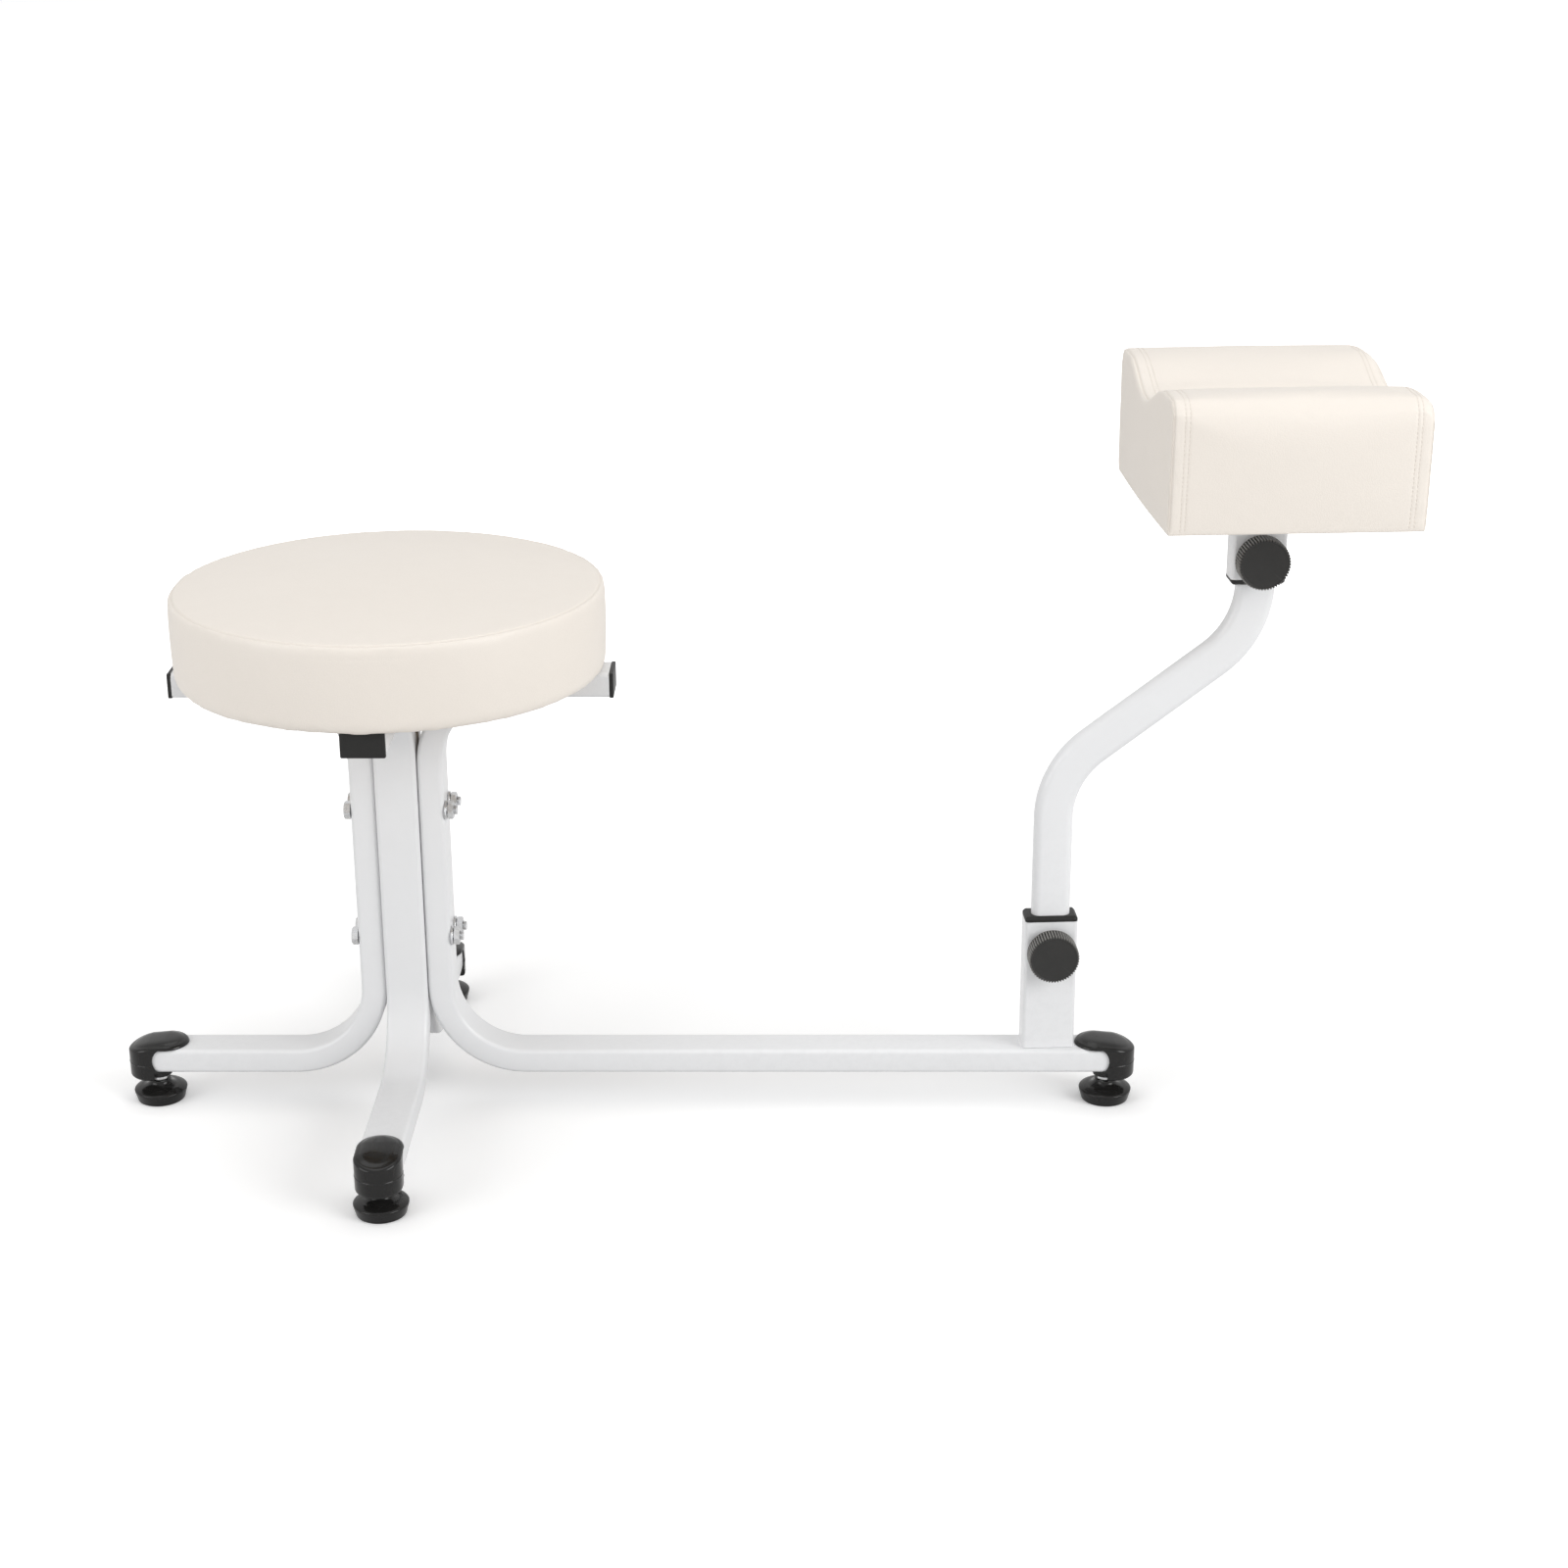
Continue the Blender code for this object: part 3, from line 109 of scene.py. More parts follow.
def arm_turn() -> float:
    """Turn of the whole arm about Z, in radians, read from its two bushings."""
    reach = middle("pad_bushing") - middle("post_bushing")
    return math.atan2(reach.y, reach.x)


def upright(bushing: str) -> Matrix:
    """Frame on the floor under a bushing, with +X along the arm."""
    spot = middle(bushing)
    return at((spot.x, spot.y, 0.0)) @ Matrix.Rotation(arm_turn(), 4, "Z")


def joint_point(name: str) -> Vector:
    """The point that a joint's axis runs through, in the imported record."""
    for joint in frame["record"]["behaviour"]["joints"]:
        if joint["name"] == name:
            return Vector(joint["pos_m"])
    raise KeyError(name)


class Side(Enum):
    """Sides of the stool, each with its turn about Z in degrees."""

    RIGHT = 0
    REAR = 90
    LEFT = 180
    FRONT = 270

    @property
    def label(self) -> str:
        """The side's name as it stands in node names."""
        return self.name.lower()

    @property
    def back(self) -> float:
        """Distance of the tube's back from the column's middle."""
        return TUBE_WIDTH / 2 + GAP if self in (Side.RIGHT, Side.LEFT) else GAP / 2

    @property
    def foot(self) -> float:
        """Distance of the levelling stud from the tube's back."""
        stud = middle(f"foot_stud_{self.label}")
        return math.hypot(stud.x - column_x(), stud.y) - self.back

    def frame(self, reach: float = 0.0, height: float = 0.0) -> Matrix:
        """Where a piece of this side is built.

        Args:
            reach: Distance outward from the tube's back.
            height: Height above the floor.

        Returns:
            Matrix whose +X points outward from the column.
        """
        turn = Matrix.Rotation(math.radians(self.value), 4, "Z")
        place = at((column_x(), 0.0, 0.0))
        return place @ turn @ at((self.back + reach, 0.0, height))


class Cut(Enum):
    """What a Boolean does with its tool."""

    AWAY = "DIFFERENCE"
    SHARED = "INTERSECT"


# Node groups


class NodeBoard:
    """A node tree that is filled node by node."""

    def __init__(self, tree: bpy.types.NodeTree) -> None:
        """Keep the tree."""
        self.tree = tree

    def feed(self, socket: Socket, value: object) -> None:
        """Link a socket into another, or set its value."""
        if isinstance(value, Socket):
            self.tree.links.new(value, socket)
        elif isinstance(value, tuple) and len(value) == 3 and socket.type == "RGBA":
            socket.default_value = (*value, 1.0)
        else:
            socket.default_value = value

    def add(self, kind: str, settings: dict | None = None, **sockets: object) -> Node:
        """Add one node.

        Args:
            kind: Node type, without the ShaderNode prefix.
            settings: Properties of the node.
            **sockets: Values or sockets for its inputs, with _ for each space.

        Returns:
            The new node.
        """
        node = self.tree.nodes.new(f"ShaderNode{kind}")
        for name, value in (settings or {}).items():
            setattr(node, name, value)
        for name, value in sockets.items():
            self.feed(node.inputs[name.replace("_", " ")], value)
        return node

    def calc(self, operation: str, *values: object) -> Socket:
        """Result of a Math node."""
        node = self.add("Math", {"operation": operation})
        for socket, value in zip(node.inputs, values):
            self.feed(socket, value)
        return node.outputs[0]

    def times(self, first: object, second: object) -> Socket:
        """Product of two values."""
        return self.calc("MULTIPLY", first, second)

    def plus(self, first: object, second: object) -> Socket:
        """Sum of two values."""
        return self.calc("ADD", first, second)

    def minus(self, first: object, second: object) -> Socket:
        """Difference of two values."""
        return self.calc("SUBTRACT", first, second)

    def total(self, value: object, *parts: tuple[object, float]) -> Socket:
        """A value plus masks, each times its weight."""
        for mask, weight in parts:
            value = self.plus(value, self.times(mask, weight))
        return value

    def spread(self, value: object, low: float, high: float, start: object, end: object) -> Socket:
        """Value carried from one range to another and held at its ends."""
        ends = {"From_Min": low, "From_Max": high, "To_Min": start, "To_Max": end}
        return self.add("MapRange", None, Value=value, **ends).outputs[0]

    def mix(self, share: object, first: object, second: object) -> Socket:
        """Colour between two colours."""
        node = self.add("Mix", {"data_type": "RGBA"})
        for socket, value in zip((node.inputs[0], node.inputs[6], node.inputs[7]), (share, first, second)):
            self.feed(socket, value)
        return node.outputs[2]

    def noise(self, vector: object, scale: object, detail: float = 3.0, rough: float = 0.5) -> Socket:
        """Grey of a Noise texture."""
        node = self.add("TexNoise", None, Vector=vector, Scale=scale, Detail=detail, Roughness=rough)
        return node.outputs[0]

    def stretched(self, vector: object, scale: Colour) -> Socket:
        """Coordinates scaled by axis."""
        return self.add("Mapping", None, Vector=vector, Scale=scale).outputs[0]


Wire = Callable[[NodeBoard, Sockets], dict[str, Socket]]


class Effect:
    """An effect shared by several materials, as one shader node group."""

    def __init__(self, name: str, inputs: dict[str, object], outputs: dict[str, str], wire: Wire) -> None:
        """Build the group.

        Args:
            name: Name of the group.
            inputs: Default of each input; the input Vector has none.
            outputs: Socket type of each output.
            wire: Fills the group and gives the socket for each output.
        """
        self.tree = bpy.data.node_groups.new(name, "ShaderNodeTree")
        for label, value in inputs.items():
            kind = FLOAT if isinstance(value, float) else COLOUR if value else VECTOR
            socket = self.tree.interface.new_socket(label, in_out="INPUT", socket_type=kind)
            if value is not None:
                socket.default_value = (*value, 1.0) if isinstance(value, tuple) else value
        for label, kind in outputs.items():
            self.tree.interface.new_socket(label, in_out="OUTPUT", socket_type=kind)
        entry = self.tree.nodes.new("NodeGroupInput")
        leave = self.tree.nodes.new("NodeGroupOutput")
        board = NodeBoard(self.tree)
        for label, socket in wire(board, entry.outputs).items():
            board.feed(leave.inputs[label], socket)

    def use(self, board: NodeBoard, **sockets: object) -> Sockets:
        """Place the group in a material and give its outputs."""
        node = board.add("Group", {"node_tree": self.tree}, **sockets)
        return node.outputs


def wire_mottle(board: NodeBoard, given: Sockets) -> dict[str, Socket]:
    """Slow change between two colours, with a finer change on top of it."""
    wide = board.noise(given["Vector"], given["Scale"], 4.0, 0.55)
    fine = board.noise(given["Vector"], board.times(given["Scale"], 9.0), 3.0, 0.6)
    mask = board.spread(board.total(board.times(wide, 0.65), (fine, 0.35)), 0.36, 0.64, 0.0, 1.0)
    share = board.times(mask, given["Amount"])
    return {"Color": board.mix(share, given["Color"], given["Other"]), "Mask": mask}


def wire_edge_wear(board: NodeBoard, given: Sockets) -> dict[str, Socket]:
    """Broken mask along outer edges, where hands and shoes rub."""
    point = board.add("NewGeometry").outputs["Pointiness"]
    edge = board.spread(point, 0.515, 0.57, 0.0, 1.0)
    broken = board.spread(board.noise(given["Vector"], given["Scale"], 5.0, 0.7), 0.45, 0.6, 0.0, 1.0)
    return {"Mask": board.times(board.times(edge, broken), given["Amount"])}


def wire_scuffs(board: NodeBoard, given: Sockets) -> dict[str, Socket]:
    """Short thin scratches in two directions, and rubbed patches."""
    marks = []
    for scale in ((1.0, 9.0, 1.4), (7.0, 1.0, 1.2)):
        value = board.noise(board.stretched(given["Vector"], scale), given["Scale"], 2.0, 0.4)
        away = board.calc("ABSOLUTE", board.minus(value, 0.5))
        marks.append(board.spread(away, 0.0, 0.004, 1.0, 0.0))
    cloud = board.noise(given["Vector"], board.times(given["Scale"], 0.4))
    patch = board.spread(cloud, 0.52, 0.68, 0.0, 1.0)
    lines = board.times(board.calc("MAXIMUM", *marks), patch)
    return {"Lines": board.times(lines, given["Amount"]), "Rubbed": board.times(patch, given["Amount"])}


def wire_dust(board: NodeBoard, given: Sockets) -> dict[str, Socket]:
    """Thin dust that settles on what faces up."""
    normal = board.add("SeparateXYZ", None, Vector=board.add("NewGeometry").outputs["Normal"]).outputs["Z"]
    up = board.spread(normal, 0.55, 1.0, 0.0, 1.0)
    cloud = board.spread(board.noise(given["Vector"], given["Scale"], 6.0, 0.65), 0.4, 0.7, 0.2, 1.0)
    return {"Mask": board.times(board.times(up, cloud), given["Amount"])}


def wire_orange_peel(board: NodeBoard, given: Sockets) -> dict[str, Socket]:
    """Soft dimples of sprayed powder paint."""
    wide = board.noise(given["Vector"], given["Scale"], 1.5, 0.4)
    fine = board.noise(given["Vector"], board.times(given["Scale"], 3.3), 2.0, 0.5)
    return {"Height": board.total(wide, (fine, 0.3))}


def wire_vinyl_grain(board: NodeBoard, given: Sockets) -> dict[str, Socket]:
    """Pebbled leather grain with fine creases between the pebbles."""
    coarse = board.times(given["Scale"], 0.35)
    bend = board.add("TexNoise", None, Vector=given["Vector"], Scale=coarse, Detail=2.0)
    shift = board.add("VectorMath", {"operation": "MULTIPLY_ADD"})
    board.feed(shift.inputs[0], bend.outputs["Color"])
    board.feed(shift.inputs[1], (0.0012, 0.0012, 0.0012))
    board.feed(shift.inputs[2], given["Vector"])
    where = {"Vector": shift.outputs[0], "Scale": given["Scale"]}
    cells = board.add("TexVoronoi", {"feature": "SMOOTH_F1"}, **where, Smoothness=0.35)
    edges = board.add("TexVoronoi", {"feature": "DISTANCE_TO_EDGE"}, **where)
    pebble = board.spread(cells.outputs[0], 0.1, 0.75, 1.0, 0.0)
    crease = board.spread(edges.outputs[0], 0.0, 0.12, 1.0, 0.0)
    fine = board.noise(given["Vector"], board.times(given["Scale"], 2.6), 3.0, 0.6)
    return {"Height": board.total(pebble, (fine, 0.35), (crease, -0.5)), "Crease": crease}


def wire_moulding(board: NodeBoard, given: Sockets) -> dict[str, Socket]:
    """Spark-eroded texture of a plastic mould."""
    fine = board.noise(given["Vector"], given["Scale"], 4.0, 0.7)
    flow = board.noise(given["Vector"], board.times(given["Scale"], 0.06), 2.0, 0.5)
    return {"Height": board.plus(fine, flow), "Flow": flow}


PATTERN = {"Vector": None, "Scale": 20.0}
MOTTLE = Effect(
    "Mottle",
    {**PATTERN, "Color": (0.8, 0.8, 0.8), "Other": (0.7, 0.7, 0.7), "Amount": 0.5},
    {"Color": COLOUR, "Mask": FLOAT},
    wire_mottle,
)
EDGE_WEAR = Effect("Edge wear", {**PATTERN, "Amount": 0.5}, {"Mask": FLOAT}, wire_edge_wear)
SCUFFS = Effect("Scuffs", {**PATTERN, "Amount": 0.5}, {"Lines": FLOAT, "Rubbed": FLOAT}, wire_scuffs)
DUST = Effect("Dust", {**PATTERN, "Amount": 0.3}, {"Mask": FLOAT}, wire_dust)
ORANGE_PEEL = Effect("Orange peel", PATTERN, {"Height": FLOAT}, wire_orange_peel)
VINYL_GRAIN = Effect("Vinyl grain", PATTERN, {"Height": FLOAT, "Crease": FLOAT}, wire_vinyl_grain)
MOULDING = Effect("Moulding texture", PATTERN, {"Height": FLOAT, "Flow": FLOAT}, wire_moulding)


# Finishes


@dataclass(frozen=True)
class Finish:
    """A finish that several pieces share, as one material."""

    name: str
    slot: str
    colour: Colour
    roughness: float

    def material(self) -> bpy.types.Material:
        """The finish's material, which is made the first time that it is asked for."""
        made = bpy.data.materials.get(self.name)
        if made is None:
            made = bpy.data.materials.new(self.name)
            made.use_nodes = True
            made.node_tree.nodes.clear()
            board = NodeBoard(made.node_tree)
            shader = board.add("BsdfPrincipled", None, Base_Color=self.colour, Roughness=self.roughness)
            board.feed(board.add("OutputMaterial").inputs["Surface"], shader.outputs[0])
            self.dress(board, shader, board.add("TexCoord").outputs["Object"])
        return made

    def dress(self, board: NodeBoard, shader: Node, where: Socket) -> None:
        """Give the shader its colour, roughness and relief.

        Args:
            board: The material's nodes.
            shader: The Principled BSDF.
            where: Object coordinates.
        """
        raise NotImplementedError

    def mottled(self, board: NodeBoard, where: Socket, scale: float, other: Colour, amount: float) -> Sockets:
        """The finish's colour with slow changes towards another one."""
        return MOTTLE.use(board, Vector=where, Scale=scale, Color=self.colour, Other=other, Amount=amount)

    @staticmethod
    def relief(board: NodeBoard, shader: Node, height: object, strength: float, depth: float) -> None:
        """Feed a height into the shader's normal."""
        bump = board.add("Bump", None, Strength=strength, Distance=depth, Height=height)
        board.feed(shader.inputs["Normal"], bump.outputs[0])

    def shade(self, factor: float) -> Colour:
        """The finish's colour, darker or lighter."""
        return tuple(min(1.0, part * factor) for part in self.colour)


@dataclass(frozen=True)
class PaintedSteel(Finish):
    """White powder paint with orange peel, faint scuffs and rubbed edges."""

    def dress(self, board: NodeBoard, shader: Node, where: Socket) -> None:
        """Give the shader its colour, roughness and relief."""
        mottle = self.mottled(board, where, 9.0, self.shade(0.975), 0.6)
        scuffs = SCUFFS.use(board, Vector=where, Scale=30.0, Amount=0.3)
        wear = EDGE_WEAR.use(board, Vector=where, Scale=160.0, Amount=0.2)
        dust = DUST.use(board, Vector=where, Scale=60.0, Amount=0.05)
        colour = board.mix(board.times(scuffs["Lines"], 0.25), mottle["Color"], self.shade(0.85))
        colour = board.mix(wear["Mask"], colour, self.shade(0.88))
        colour = board.mix(dust["Mask"], colour, (0.76, 0.75, 0.73))
        board.feed(shader.inputs["Base Color"], colour)
        parts = (mottle["Mask"], 0.07), (scuffs["Rubbed"], 0.14), (dust["Mask"], 0.5)
        rough = board.total(self.roughness - 0.04, *parts)
        board.feed(shader.inputs["Roughness"], rough)
        shader.inputs["Coat Weight"].default_value = 0.25
        shader.inputs["Coat Roughness"].default_value = 0.22
        peel = ORANGE_PEEL.use(board, Vector=where, Scale=520.0)
        self.relief(board, shader, board.total(peel["Height"], (scuffs["Lines"], -0.6)), 0.14, 0.0004)


@dataclass(frozen=True)
class ZincPlate(Finish):
    """Bright zinc plating with faint tool marks and a cloudy bloom."""

    def dress(self, board: NodeBoard, shader: Node, where: Socket) -> None:
        """Give the shader its colour, roughness and relief."""
        mottle = self.mottled(board, where, 180.0, (0.50, 0.49, 0.46), 0.6)
        wear = EDGE_WEAR.use(board, Vector=where, Scale=400.0, Amount=0.5)
        board.feed(shader.inputs["Base Color"], board.mix(wear["Mask"], mottle["Color"], (0.80, 0.80, 0.81)))
        board.feed(shader.inputs["Roughness"], board.total(self.roughness - 0.08, (mottle["Mask"], 0.18)))
        shader.inputs["Metallic"].default_value = 1.0
        marks = board.noise(board.stretched(where, (1.0, 1.0, 8.0)), 900.0, 3.0, 0.6)
        self.relief(board, shader, marks, 0.2, 0.0002)


@dataclass(frozen=True)
class MouldedPlastic(Finish):
    """Black moulded plastic, with its gloss set by the mould's texture, and a painted highlight on the knob's
    tooth crests.
    """

    grain: float
    grain_depth: float
    smudge: float
    rubbed: float

    def dress(self, board: NodeBoard, shader: Node, where: Socket) -> None:
        """Give the shader its colour, roughness and relief."""
        mottle = self.mottled(board, where, 45.0, self.shade(1.5), 0.5)
        wear = EDGE_WEAR.use(board, Vector=where, Scale=260.0, Amount=self.rubbed)
        scuffs = SCUFFS.use(board, Vector=where, Scale=55.0, Amount=self.smudge)
        dust = DUST.use(board, Vector=where, Scale=110.0, Amount=0.10)
        colour = board.mix(wear["Mask"], mottle["Color"], self.shade(3.2))
        colour = board.mix(board.times(scuffs["Lines"], 0.4), colour, self.shade(4.0))
        colour = board.mix(dust["Mask"], colour, (0.10, 0.097, 0.09))
        # Painted highlight: the tops of the knob's teeth, marked by the ridge attribute, are lightened
        # towards a pale grey
        ridge = board.add("Attribute", {"attribute_name": "ridge"}).outputs["Fac"]
        colour = board.mix(board.times(ridge, 0.9), colour, self.shade(13.0))
        board.feed(shader.inputs["Base Color"], colour)
        rough = board.total(self.roughness - 0.03, (scuffs["Rubbed"], 0.2), (mottle["Mask"], 0.06))
        board.feed(shader.inputs["Roughness"], rough)
        shader.inputs["Specular IOR Level"].default_value = 0.30
        texture = MOULDING.use(board, Vector=where, Scale=self.grain)
        self.relief(board, shader, texture["Height"], 0.25, self.grain_depth)


@dataclass(frozen=True)
class UpholsteryVinyl(Finish):
    """Ivory vinyl: a fine pebbled grain with painted shade in its creases, a soft sheen, and painted shade
    along its seams.
    """

    def dress(self, board: NodeBoard, shader: Node, where: Socket) -> None:
        """Give the shader its colour, roughness and relief."""
        mottle = self.mottled(board, where, 7.0, self.shade(0.975), 0.6)
        grain = VINYL_GRAIN.use(board, Vector=where, Scale=760.0)
        seam = board.add("Attribute", {"attribute_name": "seam"}).outputs["Fac"]
        scuffs = SCUFFS.use(board, Vector=where, Scale=22.0, Amount=0.4)
        # Painted shade: the colour is darkened in the grain's creases
        colour = board.mix(board.times(grain["Crease"], 0.10), mottle["Color"], self.shade(0.8))
        # Painted shade along the seam grooves and rows of stitches, read from the seam attribute
        colour = board.mix(board.times(seam, 0.5), colour, (0.52, 0.45, 0.38))
        board.feed(shader.inputs["Base Color"], colour)
        parts = (grain["Crease"], 0.12), (scuffs["Rubbed"], -0.10), (mottle["Mask"], 0.05)
        rough = board.total(self.roughness - 0.04, *parts)
        board.feed(shader.inputs["Roughness"], rough)
        shader.inputs["Sheen Weight"].default_value = 0.06
        shader.inputs["Sheen Roughness"].default_value = 0.4
        creases = board.noise(board.stretched(where, (1.0, 1.6, 1.0)), 34.0, 5.0, 0.55)
        height = board.total(board.times(grain["Height"], 0.35), (creases, 0.9))
        self.relief(board, shader, height, 0.22, 0.0005)


@dataclass(frozen=True)
class SewingThread(Finish):
    """Twisted polyester thread."""

    def dress(self, board: NodeBoard, shader: Node, where: Socket) -> None:
        """Give the shader its colour, roughness and relief."""
        mottle = self.mottled(board, where, 300.0, self.shade(0.9), 0.8)
        board.feed(shader.inputs["Base Color"], mottle["Color"])
        bands = {"bands_direction": "DIAGONAL"}
        twist = board.add("TexWave", bands, Vector=where, Scale=900.0, Distortion=1.5)
        board.feed(shader.inputs["Roughness"], board.spread(twist.outputs[1], 0.0, 1.0, self.roughness, 0.85))
        self.relief(board, shader, twist.outputs[1], 0.5, 0.0002)


@dataclass(frozen=True)
class Plywood(Finish):
    """Raw plywood face with its long grain, pores and a few darker streaks."""

    def dress(self, board: NodeBoard, shader: Node, where: Socket) -> None:
        """Give the shader its colour, roughness and relief."""
        along = board.stretched(where, (1.0, 7.0, 7.0))
        wave = {"Scale": 2.2, "Distortion": 6.0, "Detail": 4.0, "Detail_Scale": 1.4}
        rings = board.add("TexWave", {"bands_direction": "Y"}, Vector=along, **wave)
        specks = board.noise(board.stretched(where, (0.06, 1.0, 1.0)), 900.0, 3.0, 0.6)
        pores = board.spread(specks, 0.5, 0.72, 0.0, 1.0)
        mottle = self.mottled(board, along, 6.0, self.shade(0.78), 0.8)
        colour = board.mix(board.times(rings.outputs[1], 0.4), mottle["Color"], self.shade(0.66))
        colour = board.mix(board.times(pores, 0.5), colour, self.shade(0.4))
        board.feed(shader.inputs["Base Color"], colour)
        board.feed(shader.inputs["Roughness"], board.spread(rings.outputs[1], 0.0, 1.0, self.roughness, 0.82))
        self.relief(board, shader, board.minus(rings.outputs[1], pores), 0.3, 0.0003)


WHITE_PAINT = PaintedSteel("White powder paint", "white_paint", (0.83, 0.835, 0.845), 0.34)
ZINC = ZincPlate("Bright zinc plate", "zinc", (0.74, 0.75, 0.77), 0.30)
CAP_PLASTIC = MouldedPlastic(
    "Glossy black plastic", "black_plastic", (0.010, 0.0097, 0.0094), 0.15, 900.0, 0.0001, 0.35, 0.25
)
PLUG_PLASTIC = MouldedPlastic(
    "Matte black plastic", "black_plastic", (0.010, 0.0098, 0.0092), 0.40, 1500.0, 0.0004, 0.3, 0.3
)
KNOB_PLASTIC = MouldedPlastic(
    "Satin knob plastic", "knob_plastic", (0.022, 0.0215, 0.0205), 0.44, 2200.0, 0.0004, 0.3, 0.35
)
VINYL = UpholsteryVinyl("Ivory vinyl", "ivory_vinyl", (0.86, 0.80, 0.73), 0.46)
THREAD = SewingThread("Ivory thread", "ivory_vinyl", (0.83, 0.77, 0.70), 0.6)
PLYWOOD = Plywood("Raw plywood", "plywood", (0.62, 0.45, 0.27), 0.66)


# Shapes


class Shape:
    """A mesh that bmesh operators shape, and that ends as one named piece."""

    def __init__(self) -> None:
        """Start with nothing."""
        self.mesh = bmesh.new()

    def rectangle(self, width: float, depth: float, corner: float = 0.0, steps: int = 6) -> Face:
        """A face in the XY plane, about the origin.

        Args:
            width: Size along X.
            depth: Size along Y.
            corner: Radius of its four corners.
            steps: Segments in each corner.

        Returns:
            The face.
        """
        others = set(self.mesh.faces)
        made = bmesh.ops.create_grid(self.mesh, x_segments=1, y_segments=1, size=0.5)["verts"]
        bmesh.ops.scale(self.mesh, verts=made, vec=(width, depth, 1.0))
        if corner:
            self.round_corners(made, corner, steps)
        return next(face for face in self.mesh.faces if face not in others)

    def round_corners(self, verts: Sequence[bmesh.types.BMVert], width: float, steps: int) -> None:
        """Round corners of a flat face."""
        bmesh.ops.bevel(
            self.mesh, geom=verts, offset=width, segments=steps, profile=0.5, affect="VERTICES", material=-1
        )

    def disc(self, radius: float, sides: int = 48) -> Face:
        """A round face in the XY plane, about the origin."""
        made = bmesh.ops.create_circle(self.mesh, cap_ends=True, segments=sides, radius=radius)["verts"]
        return made[0].link_faces[0]

    def oval(self, length: float, width: float, sides: int = 64) -> Face:
        """A face in the XY plane with straight sides along X and half round ends."""
        face = self.disc(width / 2, sides)
        turn = Matrix.Rotation(math.pi / sides, 3, "Z")
        bmesh.ops.rotate(self.mesh, verts=face.verts[:], cent=(0.0, 0.0, 0.0), matrix=turn)
        for sign in (-1, 1):
            half = [vert for vert in face.verts if vert.co.x * sign > 0]
            bmesh.ops.translate(self.mesh, verts=half, vec=(sign * (length - width) / 2, 0.0, 0.0))
        return face

    def place(self, face: Face, matrix: Matrix) -> None:
        """Move a face before anything grows from it."""
        bmesh.ops.transform(self.mesh, matrix=matrix, verts=face.verts[:])

    def prism(self, face: Face, matrix: Matrix, by: Sequence[float]) -> Face:
        """Move a face and extrude it; the face at the far end comes back."""
        self.place(face, matrix)
        return self.grow(face, by)

    def grow(self, face: Face, by: Sequence[float], scale: float = 1.0) -> Face:
        """Extrude a face.

        Args:
            face: The face that moves on.
            by: How far it moves.
            scale: Size of the new face about its own middle.

        Returns:
            The face at the far end.
        """
        made = bmesh.ops.extrude_face_region(self.mesh, geom=[face, *face.edges])["geom"]
        verts = [item for item in made if isinstance(item, bmesh.types.BMVert)]
        bmesh.ops.translate(self.mesh, verts=verts, vec=by)
        if scale != 1.0:
            middle = sum((vert.co for vert in verts), Vector()) / len(verts)
            space = at(-middle)
            bmesh.ops.scale(self.mesh, verts=verts, vec=(scale,) * 3, space=space)
        return next(item for item in made if isinstance(item, Face))

    def bend(self, face: Face, centre: Sequence[float], angle: float, steps: int) -> Face:
        """Sweep a face round an axis along Y.

        Args:
            face: The face that moves on.
            centre: A point on the axis.
            angle: How far it turns, in radians.
            steps: Segments in the bend.

        Returns:
            The face at the far end.
        """
        made = bmesh.ops.spin(
            self.mesh, geom=[face, *face.edges], cent=centre, axis=(0.0, 1.0, 0.0), angle=angle, steps=steps,
            use_merge=False, use_normal_flip=False, use_duplicate=False,
        )["geom_last"]
        return next(item for item in made if isinstance(item, Face))

    def recess(self, face: Face, wall: float, by: Sequence[float]) -> None:
        """Hollow out an end.

        Args:
            face: The end face.
            wall: Thickness left round the hollow.
            by: How far the hollow reaches in.
        """
        bmesh.ops.inset_region(self.mesh, faces=[face], thickness=wall, use_even_offset=True)
        self.grow(face, by)

    def slice(self, spot: Sequence[float], normal: Sequence[float], **settings: object) -> None:
        """Cut the faces along a plane."""
        geom = self.mesh.verts[:] + self.mesh.edges[:] + self.mesh.faces[:]
        bmesh.ops.bisect_plane(self.mesh, geom=geom, plane_co=spot, plane_no=normal, **settings)

    def turned(self, profile: Profile, steps: int = 64) -> None:
        """Spin a closed outline about Z.

        Args:
            profile: Corners as radius, height and rounding.
            steps: Segments of the full turn.
        """
        corners = [self.mesh.verts.new((radius, 0.0, height)) for radius, height, _ in profile]
        self.mesh.faces.new(corners)
        for rounding in sorted({item[2] for item in profile if item[2] > 0}):
            chosen = [vert for vert, item in zip(corners, profile) if item[2] == rounding]
            self.round_corners(chosen, rounding, 5)
        bmesh.ops.delete(self.mesh, geom=self.mesh.faces[:], context="FACES_ONLY")
        centre = [edge for edge in self.mesh.edges if all(abs(vert.co.x) < MERGE for vert in edge.verts)]
        bmesh.ops.delete(self.mesh, geom=centre, context="EDGES")
        bmesh.ops.spin(
            self.mesh, geom=self.mesh.verts[:] + self.mesh.edges[:], cent=(0.0, 0.0, 0.0),
            axis=(0.0, 0.0, 1.0), angle=2 * math.pi, steps=steps, use_merge=True, use_duplicate=False,
        )
        bmesh.ops.remove_doubles(self.mesh, verts=self.mesh.verts[:], dist=MERGE)

